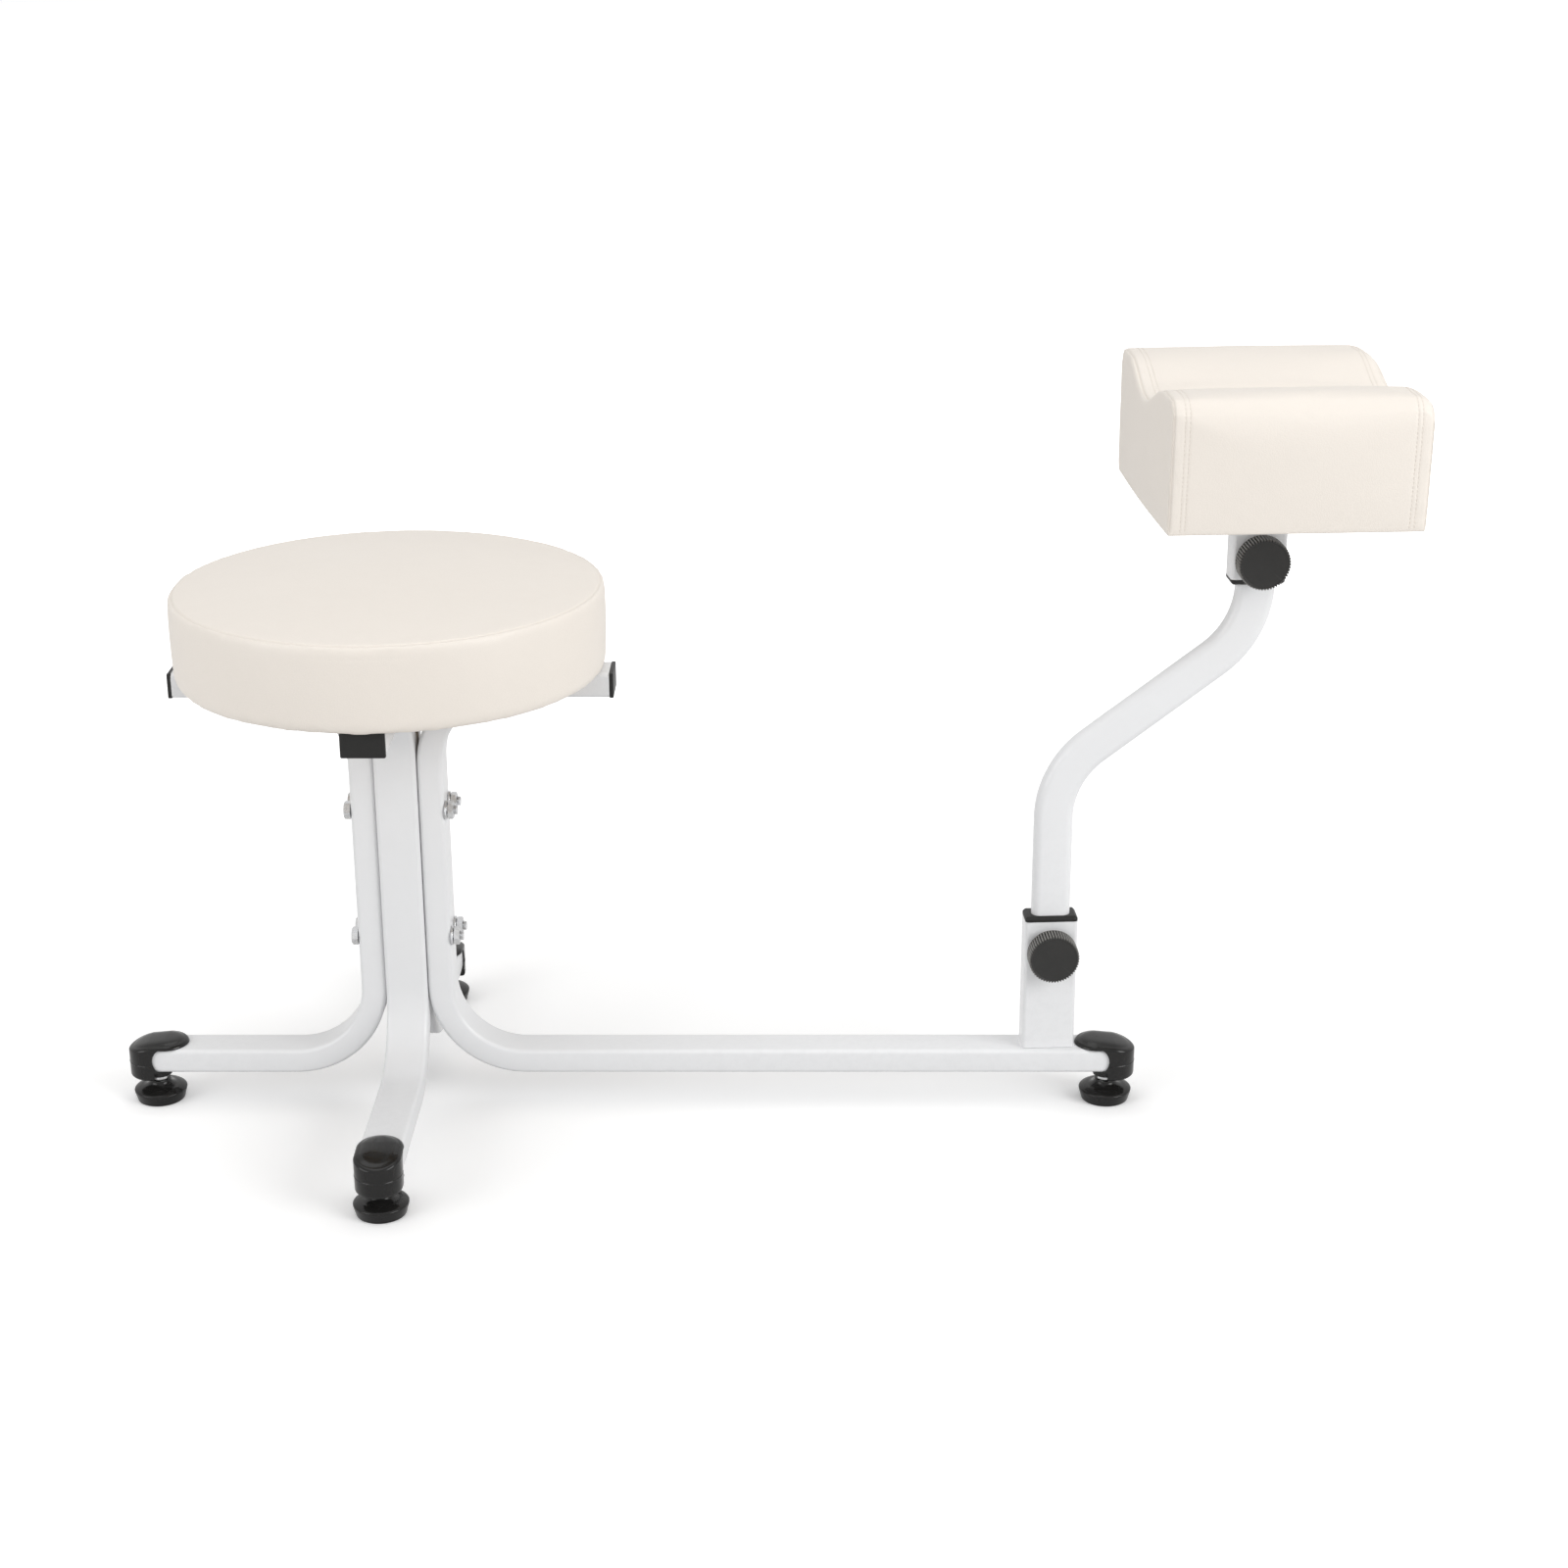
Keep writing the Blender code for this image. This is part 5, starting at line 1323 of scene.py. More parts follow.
@dataclass
class SeatCushion:
    """Round seat: a top panel sewn to a boxing that rolls over the edge, on a board."""

    radius: float = 0.1702
    base: float = 0.1692
    bulge: float = 0.0008
    edge: float = 0.069
    roll: float = 0.0036
    crown: float = 0.004
    hem: float = 0.0025
    board_top: float = 0.0123
    crease_drop: float = 0.0095

    @property
    def board_radius(self) -> float:
        """Radius of the board's space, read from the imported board."""
        low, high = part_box("seat_board")
        return (high.x - low.x) / 2 + GAP

    @property
    def place(self) -> Vector:
        """Middle of the cushion's underside."""
        return Vector((column_x(), 0.0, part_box("seat_cushion")[0].z))

    @property
    def seam(self) -> float:
        """Radius of the seam between the top panel and the boxing."""
        return self.radius - self.roll

    def skin(self, name: str, rows: int, fine: Sequence[float] = (0.0,)) -> Piece:
        """Turn the cushion's skin.

        Args:
            name: Name of the object.
            rows: Rows of faces on its side, and as many on its top.
            fine: Distances from the seam at which the top gets a row of its own.

        Returns:
            The skin, in the cushion's own frame.
        """
        profile = [(0.0, 0.0, 0.0), (self.base, 0.0, self.hem)]
        for step in range(1, rows):
            share = step / rows
            flare = (self.radius - self.base) * share + self.bulge * math.sin(math.pi * share)
            profile.append((self.base + flare, self.hem + (self.edge - self.roll - self.hem) * share, 0.0))
        for step in range(6):
            turn = math.pi / 2 * step / 6
            height = self.edge + self.roll * (math.sin(turn) - 1)
            profile.append((self.seam + self.roll * math.cos(turn), height, 0.0))
        for away in sorted((*fine, *(self.seam * step / rows for step in range(1, rows)))):
            share = 1 - away / self.seam
            profile.append((self.seam * share, self.edge + self.crown * (1 - share**4), 0.0))
        profile.append((0.0, self.edge + self.crown, 0.0))
        shape = Shape()
        shape.turned(profile, 240)
        return shape.body(name)

    def held(self, spot: Vector) -> bool:
        """Whether the seam or the board holds a point."""
        at_seam = abs(math.hypot(spot.x, spot.y) - self.seam) < 0.0045 and spot.z > self.edge - 0.003
        return spot.z < 0.006 or at_seam

    def finished_point(self, spot: Vector) -> Vector:
        """Draw the skin in at its seams and pucker it beside them."""
        reach, turn = math.hypot(spot.x, spot.y), math.atan2(spot.y, spot.x)
        if spot.z < 0.004 or reach < MERGE:
            return spot
        out = Vector((spot.x / reach, spot.y / reach, 0.0))
        slack = noise.noise(Vector((18 * math.cos(turn), 18 * math.sin(turn), spot.z * 30)))
        below = self.edge - spot.z
        if below < 0.003:
            off = reach - self.seam
            dip = 0.0008 * hump(off, 0.0008) + 0.0002 * slack * hump(off + 0.008, 0.007)
            return spot - Vector((0.0, 0.0, dip))
        front = abs(math.remainder(turn + math.pi / 2, 2 * math.pi)) * reach
        inward = 0.0008 * hump(across_rear(spot), 0.0014) - 0.0002 * slack * hump(below - 0.008, 0.007)
        inward += 0.0003 * hump(below - self.crease_drop, 0.0012) * hump(front, 0.035)
        return spot - out * inward

    def shade(self, spot: Vector) -> float:
        """Painted shade in the seam grooves: how near a point lies to a seam."""
        reach = math.hypot(spot.x, spot.y)
        if spot.z > self.edge - 0.003:
            return 0.55 * hump(reach - self.seam, 0.0007)
        on_side = spot.z > 0.003 and reach > self.base - 0.004
        return 0.6 * hump(across_rear(spot), 0.0012) if on_side else 0.0

    def build(self) -> None:
        """Inflate a plain skin, then lay a skin with its seams on it."""
        cloth = Cloth(voxel=0.0045, pressure=4.0, most=0.005)
        stuffed = cloth.inflated(cloth.remeshed(self.skin("stuffed", 8)), self.held)
        tree = BVHTree.FromObject(stuffed, bpy.context.evaluated_depsgraph_get())
        fine = [0.0003 * step for step in range(1, 9)]
        skin = self.skin("seat_cushion_sewn", 40, fine)
        for vert in skin.data.vertices:
            vert.co = self.finished_point(tree.find_nearest(vert.co)[0])
        discard(stuffed)
        below, up = at((0.0, 0.0, -OVER)), (0.0, 0.0, OVER + self.board_top)
        cut(skin, lambda tool: tool.disc(self.board_radius, 160), below, up)
        # Painted shade along the seam grooves, stored for the vinyl's colour
        paint_seam_shade(skin, self.shade)
        skin.data.transform(at(self.place))
        fitted(skin, VINYL, "base", ["seat_cushion"], 60.0)


@dataclass
class FootrestCushion:
    """Footrest cushion: a main panel with a trough, and two end panels sewn on at the corners."""

    length: float = 0.197
    depth: float = 0.222
    height: float = 0.103
    trough: float = 0.020
    ridge: float = 0.037
    round_top: float = 0.014
    round_end: float = 0.007
    seam_inset: float = 0.0026
    stitch_insets: tuple[float, float] = (0.0108, 0.0143)
    board_length: float = 0.1736
    board_depth: float = 0.2026
    board_top: float = 0.0103
    shy: float = 0.0010
    bow: float = 0.0020
    slump: float = 0.008
    slump_length: float = 0.016
    shift: float = 0.004

    @property
    def place(self) -> Matrix:
        """The cushion's own frame, with its underside at z = 0."""
        return upright("pad_bushing") @ at((self.shift, 0.0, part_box("pad_cushion")[0].z))

    def block(self) -> Piece:
        """Block of foam with its edges rounded."""
        shape = Shape()
        size = Vector((self.length, self.depth, self.height)) - Vector((2, 2, 1)) * self.shy
        shape.grow(shape.rectangle(size.x, size.y), (0.0, 0.0, size.z))

        def along(edge: Edge) -> bool:
            """Whether an edge runs along the top of a long side."""
            first, second = edge.verts
            return abs(first.co.y - second.co.y) < MERGE and min(first.co.z, second.co.z) > size.z / 2

        def ends(edge: Edge) -> bool:
            """Whether an edge bounds an end, apart from its lower one."""
            at_end = all(abs(abs(vert.co.x) - size.x / 2) < MERGE for vert in edge.verts)
            return at_end and max(vert.co.z for vert in edge.verts) > MERGE

        shape.round_edges(along, self.round_top, 8)
        shape.round_edges(ends, self.round_end, 5)
        return shape.body("pad_cushion_sewn")

    def sculpted(self, spot: Vector) -> Vector:
        """Sink the trough, round the outer end off, bow the ends out and draw the sides in at the bottom."""
        half = self.depth / 2 - self.ridge
        x, y, z = spot
        high = max(0.0, min(1.0, (z - 0.35 * self.height) / (0.6 * self.height)))
        if abs(y) < half:
            z -= self.trough / 2 * (1 + math.cos(math.pi * y / half)) * high
        share = max(0.0, min(1.0, z / self.height))
        y -= math.copysign(0.003 * (1 - share) ** 2, y) * min(1.0, abs(y) / (0.3 * self.depth))
        outer = max(0.0, x - self.length / 2 + self.slump_length) / self.slump_length
        z -= self.slump * outer**2.5 * max(0.0, 2 * share - 1)
        x += math.copysign(self.bow, x) * math.cos(math.pi * y / self.depth) * (2 * abs(x) / self.length) ** 8
        return Vector((x, y, z))

    def held(self, spot: Vector) -> bool:
        """Whether a seam or the board holds a point."""
        at_seam = abs(abs(spot.x) - (self.length / 2 - self.seam_inset)) < 0.0022
        return spot.z < 0.006 or at_seam and self.on_main_panel_edge(spot)

    def distances(self, spot: Vector) -> tuple[float, float]:
        """Distance along the cushion to the nearer seam, and to the nearest row of stitches."""
        inset = self.length / 2 - abs(spot.x)
        return self.seam_inset - inset, min((inset - row for row in self.stitch_insets), key=abs)

    def on_main_panel_edge(self, spot: Vector) -> bool:
        """Whether a point lies on the outline where the panels meet."""
        return abs(spot.y) > self.depth / 2 - 0.012 or spot.z > self.height - self.trough - 0.012

    def outline(self, tree: BVHTree, along: float) -> list[tuple[Vector, Vector]]:
        """Points on the skin round one section, from one lower edge over the top to the other.

        Args:
            tree: The skin's search tree.
            along: Where the section lies on the cushion's length.

        Returns:
            Points with the skin's normal at each.
        """
        path = []
        for step in range(601):
            turn = math.radians(-38 + 256 * step / 600)
            out = Vector((0.0, math.cos(turn), math.sin(turn)))
            hit, normal, _, _ = tree.ray_cast(Vector((along, 0.0, 0.045)) + out * 0.3, -out)
            if hit is not None and hit.z > 0.004:
                path.append((hit, normal))
        return path

    def seamed(self, skin: Piece) -> None:
        """Cut fine rows beside each seam and draw the skin in there."""
        mesh = bmesh.new()
        mesh.from_mesh(skin.data)
        rows = [self.seam_inset + offset for offset in (-0.0014, -0.0006, 0.0, 0.0006, 0.0014)]
        rows += [inset + offset for inset in self.stitch_insets for offset in (-0.0007, 0.0, 0.0007)]
        for sign in (-1, 1):
            for row in rows:
                bmesh.ops.bisect_plane(
                    mesh, geom=mesh.verts[:] + mesh.edges[:] + mesh.faces[:], dist=MERGE,
                    plane_co=(sign * (self.length / 2 - row), 0.0, 0.0), plane_no=(1.0, 0.0, 0.0),
                )
        mesh.normal_update()
        normals = [(vert, vert.normal.copy()) for vert in mesh.verts]
        for vert, normal in normals:
            if vert.co.z < 0.003:
                continue
            to_seam, to_stitch = self.distances(vert.co)
            if self.on_main_panel_edge(vert.co):
                dip = 0.0008 * hump(to_seam, 0.0009) + 0.0002 * hump(to_stitch, 0.0007)
                wave = noise.noise(Vector((vert.co.x * 40, vert.co.y * 95, vert.co.z * 95)))
                dip += 0.0004 * wave * hump(to_seam + 0.005, 0.006)
                vert.co = vert.co - normal * dip
        mesh.to_mesh(skin.data)
        mesh.free()

    def shade(self, spot: Vector) -> float:
        """Painted shade: how near a point lies to a seam groove, and faintly to a row of stitches."""
        if not self.on_main_panel_edge(spot) or spot.z < 0.002:
            return 0.0
        to_seam, to_stitch = self.distances(spot)
        return max(0.5 * hump(to_seam, 0.0007), 0.08 * hump(to_stitch, 0.0007))

    def build(self) -> None:
        """Sew the cushion and its rows of stitches."""
        cloth = Cloth(voxel=0.0042, pressure=4.0, most=0.005)
        skin = cloth.remeshed(self.block())
        for vert in skin.data.vertices:
            vert.co = self.sculpted(vert.co)
        cloth.inflated(skin, self.held)
        board = self.place.inverted() @ middle("pad_board")
        below, up = at((board.x, board.y, -OVER)), (0.0, 0.0, OVER + self.board_top)
        cut(skin, lambda tool: tool.rectangle(self.board_length, self.board_depth, 0.006, 6), below, up)
        self.seamed(skin)
        # Painted shade along the seam grooves and stitch rows, stored for the vinyl's colour
        paint_seam_shade(skin, self.shade)
        tree = BVHTree.FromObject(skin, bpy.context.evaluated_depsgraph_get())
        rows = []
        for place in (sign * (self.length / 2 - inset) for sign in (-1, 1) for inset in self.stitch_insets):
            rows.append(stitches("pad_topstitches", self.outline(tree, place)))
        row = joined(rows[0], rows[1:])
        row.data.transform(self.place)
        skin.data.transform(self.place)
        fitted(skin, VINYL, "pad_carrier", ["pad_cushion"], 60.0)
        fitted(row, THREAD, "pad_carrier")


# Footrest


@dataclass
class ClampSocket:
    """Rectangular socket with a bushing in its mouth and a weld nut on its front."""

    node: str
    bushing_node: str
    knob: str
    body: str
    mouth_up: bool
    width: float = 0.0431
    depth: float = 0.0227
    wall: float = 0.0015
    floor: float = 0.0012
    corner: float = 0.003
    flange: float = 0.0042
    chamfer: float = 0.002
    sleeve: float = 0.038
    bore_width: float = 0.0323
    bore_depth: float = 0.0163
    bore_corner: float = 0.0074
    nut: float = 0.0045
    bead: float = 0.0013

    @property
    def place(self) -> Matrix:
        """The socket's own frame, upright on its axis at z = 0."""
        return upright(self.bushing_node)

    @property
    def stud_height(self) -> float:
        """Height of the clamp stud's axis."""
        return joint_point(self.knob + "_turn").z

    def drilled(self, piece: Piece, stock: Fastener) -> None:
        """Drill the stud's hole through the front of a piece in the socket's frame."""
        ahead = at((0.0, -self.depth, self.stud_height)) @ TO_REAR
        cut(piece, lambda tool: tool.disc(stock.hole, 24), ahead, (0.0, self.depth, 0.0))

    def beads(self, front: Matrix, foot: float) -> list[Piece]:
        """Weld round the nut, and along the two ends of a post's foot.

        Args:
            front: Frame on the front face, round the nut.
            foot: Height of the socket's lower end.

        Returns:
            The beads.
        """
        ring = []
        for step in range(49):
            turn = Matrix.Rotation(2 * math.pi * step / 48, 4, "Z")
            ring.append(front @ turn @ Vector((0.0078, 0.0, 0.0002)))
        made = [weld_bead(ring, 0.0011, self.stud_height * 100).body("nut_bead")]
        if self.mouth_up:
            for sign in (-1, 1):
                reach = self.depth / 2 - 0.0015
                ends = (-reach + 2 * reach * step / 16 for step in range(17))
                line = [Vector((sign * self.width / 2, along, foot)) for along in ends]
                made.append(weld_bead(line, self.bead, 7.0 + sign).body("foot_bead"))
        return made

    def welded_tube(self, stock: Fastener) -> Piece:
        """The socket with its weld nut and its beads."""
        low, high = (corner.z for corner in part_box(self.node))
        shape = Shape()
        face = shape.rectangle(self.width, self.depth, self.corner, 6)
        top = shape.prism(face, at((0.0, 0.0, low)), (0.0, 0.0, high - low))
        mouth, sign = (top, -1) if self.mouth_up else (face, 1)
        shape.recess(mouth, self.wall, (0.0, 0.0, sign * (high - low - self.floor)))
        made = shape.body(self.node + "_welded")
        self.drilled(made, stock)
        nut = stock.loose_nut("weld_nut", self.nut)
        front = at((0.0, -self.depth / 2, self.stud_height)) @ TO_FRONT
        nut.data.transform(front)
        joined(made, [nut, *self.beads(front, low)])
        made.data.transform(self.place)
        return fitted(made, WHITE_PAINT, self.body, [self.node])

    def bushing(self, stock: Fastener) -> Piece:
        """Black bushing with a chamfered flange round the tube."""
        low, high = (corner.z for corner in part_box(self.bushing_node))
        seat = high - self.flange if self.mouth_up else low + self.flange
        sign = 1 if self.mouth_up else -1
        shape = Shape()
        lip, end = seat + sign * (self.flange - self.chamfer), seat + sign * self.flange
        face = shape.rectangle(self.width, self.depth, self.corner, 6)
        shape.prism(face, at((0.0, 0.0, seat)), (0.0, 0.0, end - seat))
        shape.round_edges(level(end), self.chamfer, 1)
        for height in (end, lip):
            shape.round_edges(level(height), 0.0004, 3)
        made = shape.body(self.bushing_node + "_moulded")
        less, inside = 2 * (self.wall + GAP), 0.001
        outside = self.width - less, self.depth - less, self.corner - self.wall, 4
        bore, reach = (self.bore_width, self.bore_depth, self.bore_corner, 8), self.sleeve + OVER
        sleeve = straight(
            "sleeve", lambda item: item.rectangle(*outside),
            at((0.0, 0.0, seat + sign * inside)), (0.0, 0.0, -sign * (self.sleeve + inside)),
        )
        low = at((0.0, 0.0, seat - reach))
        for piece in (made, sleeve):
            cut(piece, lambda tool: tool.rectangle(*bore), low, (0.0, 0.0, 2 * reach))
            self.drilled(piece, stock)
        joined(made, [sleeve])
        made.data.transform(self.place)
        return fitted(made, PLUG_PLASTIC, self.body, [self.bushing_node], 30.0)


@dataclass
class CrankedTube:
    """Flat oval tube bent twice, whose ends stand upright in the two sockets."""

    width: float = 0.0315
    thickness: float = 0.0155
    corner: float = 0.007
    wall: float = 0.0015
    bend: float = 0.0765
    lean: float = 52.85
    standoff: float = 0.002

    def build(self) -> Piece:
        """Sweep the tube from its foot to its head."""
        low, high = (end.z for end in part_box("cranked_tube"))
        lean, offset = math.radians(self.lean), (middle("pad_bushing") - middle("post_bushing")).xy.length
        run, rise = self.bend * (1 - math.cos(lean)), self.bend * math.sin(lean)
        slope = (offset - 2 * run) / math.tan(lean)
        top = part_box("pad_bushing")[0].z - self.standoff
        start = top - 2 * rise - slope
        shape = Shape()
        first = shape.rectangle(self.width, self.thickness, self.corner, 8)
        face = shape.prism(first, at((0.0, 0.0, low)), (0.0, 0.0, start - low))
        face = shape.bend(face, (self.bend, 0.0, start), lean, 26)
        face = shape.grow(face, (offset - 2 * run, 0.0, slope))
        face = shape.bend(face, (offset - self.bend, 0.0, top), -lean, 26)
        face = shape.grow(face, (0.0, 0.0, high - top))
        shape.recess(face, self.wall, (0.0, 0.0, -0.015))
        shape.recess(first, self.wall, (0.0, 0.0, 0.015))
        shape.transform(upright("post_bushing"))
        return fitted(shape.body("cranked_tube_bent"), WHITE_PAINT, "arm", ["cranked_tube"])


@dataclass
class ClampKnob:
    """Fluted knob with a ring round its face, on a threaded stud that presses on the tube."""

    socket: ClampSocket
    tube: CrankedTube
    radius: float = 0.0207
    depth: float = 0.015
    flutes: int = 54
    flute_depth: float = 0.0016
    hollow: float = 0.009

    def fluted(self, spot: Vector) -> Vector:
        """Press the flutes into the rim."""
        reach = math.hypot(spot.x, spot.y)
        inside = self.radius - 0.0024
        if reach < inside or not 0.0010 < spot.z < self.depth:
            return spot
        wave = 0.5 - 0.5 * math.cos(self.flutes * math.atan2(spot.y, spot.x))
        new = reach - self.flute_depth * wave**1.5 * min(1.0, (reach - inside) / 0.0020)
        return Vector((spot.x * new / reach, spot.y * new / reach, spot.z))

    def paint_crest_highlight(self, piece: Piece) -> None:
        """Store a painted highlight on the teeth: how near each point lies to the top of a tooth, which
        lightens the plastic's colour.
        """
        values = []
        for vert in piece.data.vertices:
            above = math.hypot(vert.co.x, vert.co.y) - (self.radius - self.flute_depth)
            values.append(max(0.0, min(1.0, above / self.flute_depth)))
        piece.data.attributes.new("ridge", "FLOAT", "POINT").data.foreach_set("value", values)

    def build(self, stock: Fastener) -> None:
        """Make the knob and its stud."""
        name, body = self.socket.knob, self.socket.knob.replace("knob", "clamp")
        back = self.socket.depth / 2 + self.socket.nut + GAP
        spot = at((0.0, -back, self.socket.stud_height))
        place = self.socket.place @ spot @ TO_FRONT
        rim, face = self.radius, self.depth
        shape = Shape()
        shape.turned(
            [
                (stock.hole, 0.0, 0.0), (rim - 0.0010, 0.0, 0.0), (rim, 0.0010, 0.0003),
                (rim, face - 0.0009, 0.0003), (rim - 0.0009, face, 0.0), (rim - 0.0022, face, 0.0003),
                (rim - 0.0026, face - 0.0004, 0.0003), (rim - 0.0120, face - 0.0006, 0.0),
                (0.0, face - 0.0006, 0.0), (0.0, self.hollow, 0.0), (stock.hole, self.hollow, 0.0),
            ],
            self.flutes * 6,
        )
        shape.each(self.fluted)
        knob = shape.body(name + "_fluted")
        # Painted highlight on the tops of the teeth, stored for the plastic's colour
        self.paint_crest_highlight(knob)
        knob.data.transform(place)
        fitted(knob, KNOB_PLASTIC, body + "_knob", [name], 40.0)
        near = place @ Vector((0.0, 0.0, self.hollow - GAP))
        far = place @ Vector((0.0, 0.0, self.tube.thickness / 2 + GAP - back))
        stud = stock.rod(name + "_stud_threaded", near, far)
        fitted(stud, ZINC, body + "_stud", [name + "_stud"])


@dataclass
class FootrestBase:
    """Plate on the cushion socket, with the screws that hold the cushion's board."""

    side: float = 0.110
    corner: float = 0.010
    screw_inset: float = 0.014
    screw_hole: float = 0.0033

    def build(self, stock: Fastener) -> None:
        """Make the plate and its screws."""
        place = upright("pad_bushing")
        low, high = (corner.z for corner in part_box("pad_plate"))
        shape = Shape()
        face = shape.rectangle(self.side, self.side, self.corner, 8)
        shape.prism(face, at((0.0, 0.0, low)), (0.0, 0.0, high - low))
        for height in (low, high):
            shape.round_edges(level(height), 0.0006, 3)
        plate = shape.body("pad_plate_pressed")
        reach = self.side / 2 - self.screw_inset
        spots = [(x * reach, y * reach) for x in (-1, 1) for y in (-1, 1)]
        for x, y in spots:
            below, up = at((x, y, low - OVER)), (0.0, 0.0, 2 * OVER)
            cut(plate, lambda tool: tool.disc(self.screw_hole, 20), below, up)
        plate.data.transform(place)
        fitted(plate, WHITE_PAINT, "pad_carrier", ["pad_plate"])
        for number, (x, y) in enumerate(spots, start=1):
            screw = stock.pan_screw(f"pad_screw_{number}_turned", Vector((x, y, low - GAP)), 0.0118, 0.003)
            screw.data.transform(place)
            fitted(screw, ZINC, "pad_carrier", [f"pad_screw_{number}"])


def seat_screws(stock: Fastener) -> None:
    """Screws up through the seat arms into the board."""
    for side in Side:
        low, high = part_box(f"seat_screw_{side.label}")
        spot = Vector(((low.x + high.x) / 2, (low.y + high.y) / 2, low.z + 0.0035))
        screw = stock.pan_screw(f"seat_screw_{side.label}_turned", spot, high.z - spot.z, 0.0035)
        fitted(screw, ZINC, "base", [f"seat_screw_{side.label}"])


def carried_over() -> None:
    """Give the nodes whose shape stays their finish."""
    boards, plugs = ("seat_board", "pad_board"), ("tube_foot_plug", "tube_head_plug")
    for nodes, finish in ((boards, PLYWOOD), (plugs, PLUG_PLASTIC)):
        for node in nodes:
            piece = frame["nodes"][node]
            piece.data.materials.clear()
            piece.data.materials.append(finish.material())
            LOG.info("%s keeps its solid", node)


# Studio


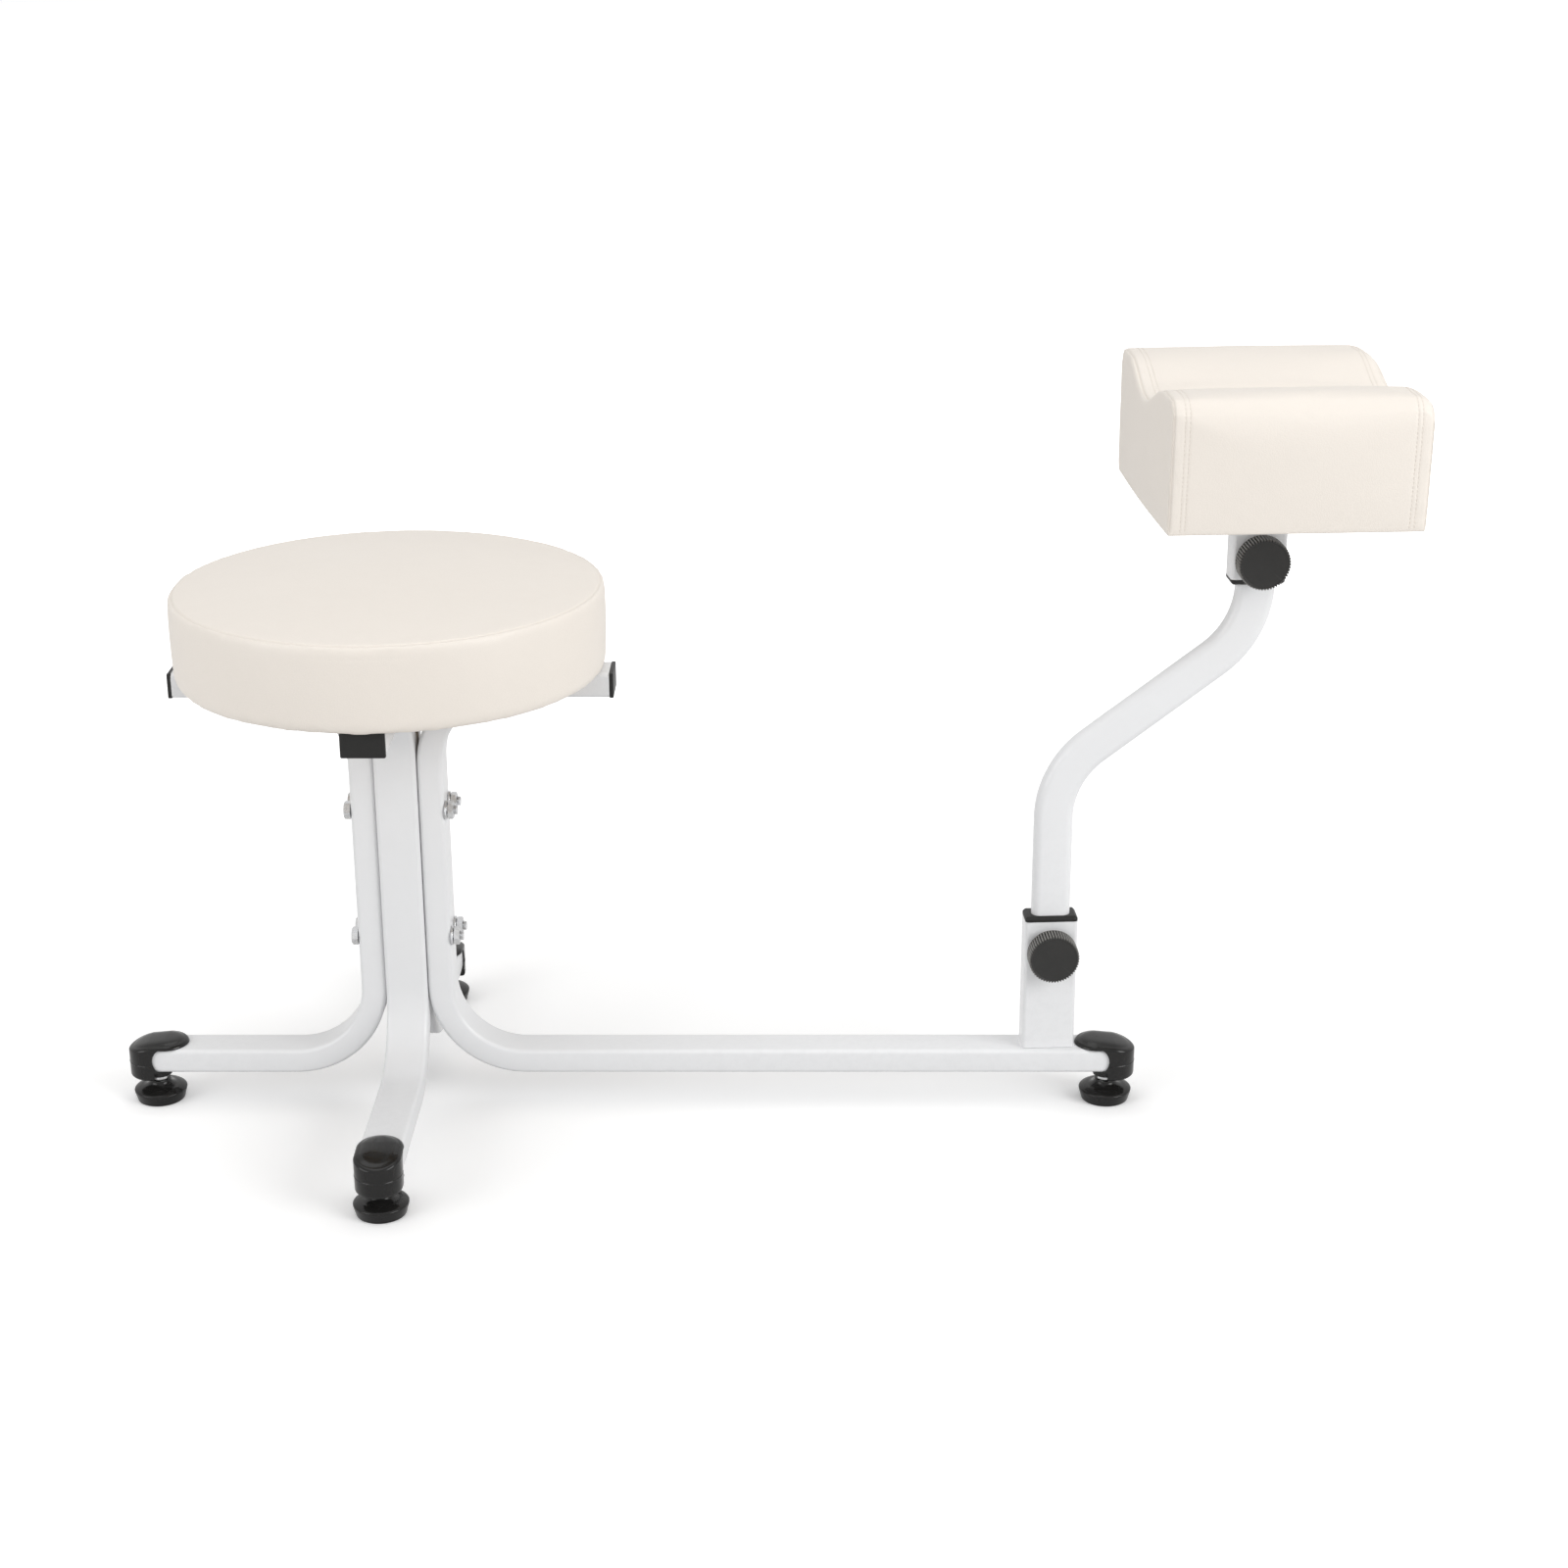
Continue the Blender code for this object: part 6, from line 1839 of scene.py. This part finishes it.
@dataclass
class Studio:
    """White floor, soft lamps and the photograph's camera."""

    spot: tuple[float, float, float] = (0.0541, -2.0364, 1.0231)
    yaw: float = -0.493205
    pitch: float = 20.04528
    roll: float = -0.22374
    focal: float = 2742.44
    pixels: float = 1600.0
    sensor: float = 36.0
    ambient: float = 0.52
    shadow_reach: float = 0.4
    near_glow: float = 0.14
    floor_colour: Colour = (0.62, 0.62, 0.62)

    def camera(self) -> None:
        """Stand the camera where the photograph was taken."""
        data = bpy.data.cameras.new("Camera")
        data.sensor_width = self.sensor
        data.lens = self.focal * self.sensor / self.pixels
        camera = bpy.data.objects.new("Camera", data)
        bpy.context.scene.collection.objects.link(camera)
        yaw, pitch, roll = (math.radians(value) for value in (self.yaw, self.pitch, self.roll))
        ahead = Vector((math.sin(yaw) * math.cos(pitch), math.cos(yaw) * math.cos(pitch), -math.sin(pitch)))
        right = Vector((math.cos(yaw), -math.sin(yaw), 0.0))
        above = right.cross(ahead)
        across = right * math.cos(roll) + above * math.sin(roll)
        upward = above * math.cos(roll) - right * math.sin(roll)
        turn = Matrix((across, upward, -ahead)).transposed().to_4x4()
        camera.matrix_world = at(self.spot) @ turn
        bpy.context.scene.camera = camera

    def lamp(self, name: str, spot: Sequence[float], aim: Sequence[float], size: float, power: float) -> None:
        """Hang one soft square lamp.

        Args:
            name: Name of the lamp.
            spot: Where it hangs.
            aim: What it points at.
            size: Its side.
            power: Its power in watts.
        """
        data = bpy.data.lights.new(name, "AREA")
        data.shape, data.size, data.energy = "SQUARE", size, power
        lamp = bpy.data.objects.new(name, data)
        bpy.context.scene.collection.objects.link(lamp)
        turn = (Vector(aim) - Vector(spot)).to_track_quat("-Z", "Y").to_matrix().to_4x4()
        lamp.matrix_world = at(spot) @ turn

    def world(self) -> None:
        """White to the camera, a little dimmer in reflections, and dimmer still as a light."""
        world = bpy.data.worlds.new("Studio")
        bpy.context.scene.world = world
        world.use_nodes = True
        world.node_tree.nodes.clear()
        board = NodeBoard(world.node_tree)
        rays = board.add("LightPath").outputs
        seen = board.calc("MAXIMUM", rays["Is Camera Ray"], rays["Is Transmission Ray"])
        level_of_light = board.spread(rays["Is Glossy Ray"], 0.0, 1.0, self.ambient, 0.85)
        strength = board.spread(seen, 0.0, 1.0, level_of_light, 1.0)
        back = board.add("Background", None, Color=WHITE, Strength=strength)
        board.feed(board.add("OutputWorld").inputs["Surface"], back.outputs[0])

    def floor(self) -> None:
        """Lay a plain floor that keeps the shadow near the object and is white farther out."""
        shape = Shape()
        shape.disc(14.0, 96)
        floor = shape.body("studio_floor")
        material = bpy.data.materials.new("Studio floor")
        material.use_nodes = True
        material.node_tree.nodes.clear()
        board = NodeBoard(material.node_tree)
        rays = board.add("LightPath").outputs
        mirrored = board.calc("MAXIMUM", rays["Is Glossy Ray"], rays["Is Transmission Ray"])
        seen = board.calc("MAXIMUM", rays["Is Camera Ray"], mirrored)
        colour = board.mix(seen, self.floor_colour, WHITE)
        where = board.add("TexCoord").outputs["Object"]
        away = board.add("VectorMath", {"operation": "LENGTH"}, Vector=where).outputs["Value"]
        glow = board.spread(away, self.shadow_reach, 5 * self.shadow_reach, self.near_glow, 1.0)
        glow = board.mix(board.times(rays["Is Camera Ray"], glow), BLACK, WHITE)
        shader = board.add("BsdfPrincipled", None, Base_Color=colour, Roughness=0.95, Emission_Color=glow)
        shader.inputs["Emission Strength"].default_value = 1.0
        shader.inputs["Specular IOR Level"].default_value = 0.0
        board.feed(board.add("OutputMaterial").inputs["Surface"], shader.outputs[0])
        floor.data.materials.append(material)

    def build(self) -> None:
        """Set up everything round the object."""
        scene = bpy.context.scene
        scene.view_settings.view_transform = "Standard"
        self.camera()
        self.world()
        self.floor()
        self.lamp("Key", (2.8, -1.8, 1.6), (0.0, 0.0, 0.25), 2.0, 66.0)
        self.lamp("Top", (-0.2, 0.3, 3.0), (0.0, 0.0, 0.2), 2.4, 20.0)
        self.lamp("Fill", (-2.6, -1.7, 1.2), (0.0, 0.0, 0.25), 2.0, 32.0)


def main() -> None:
    """Build every piece in order and report it."""
    logging.basicConfig(level=logging.INFO, format="%(name)s: %(message)s")
    stock = Fastener()
    for side in Side:
        tube = BentTube(side)
        tube.tube()
        tube.plug()
        FootCap(side, tube).build()
        LevellingFoot(side, stock).build()
    ColumnBolts(stock).build()
    seat_screws(stock)
    carried_over()
    pipe = CrankedTube()
    pipe.build()
    lower = ClampSocket("socket_post", "post_bushing", "lower_knob", "base", True)
    upper = ClampSocket("pad_socket", "pad_bushing", "upper_knob", "pad_carrier", False)
    for socket in (lower, upper):
        socket.welded_tube(stock)
        socket.bushing(stock)
        ClampKnob(socket, pipe).build(stock)
    FootrestBase().build(stock)
    FootrestCushion().build()
    SeatCushion().build()
    Studio().build()


if __name__ == "__main__":
    main()
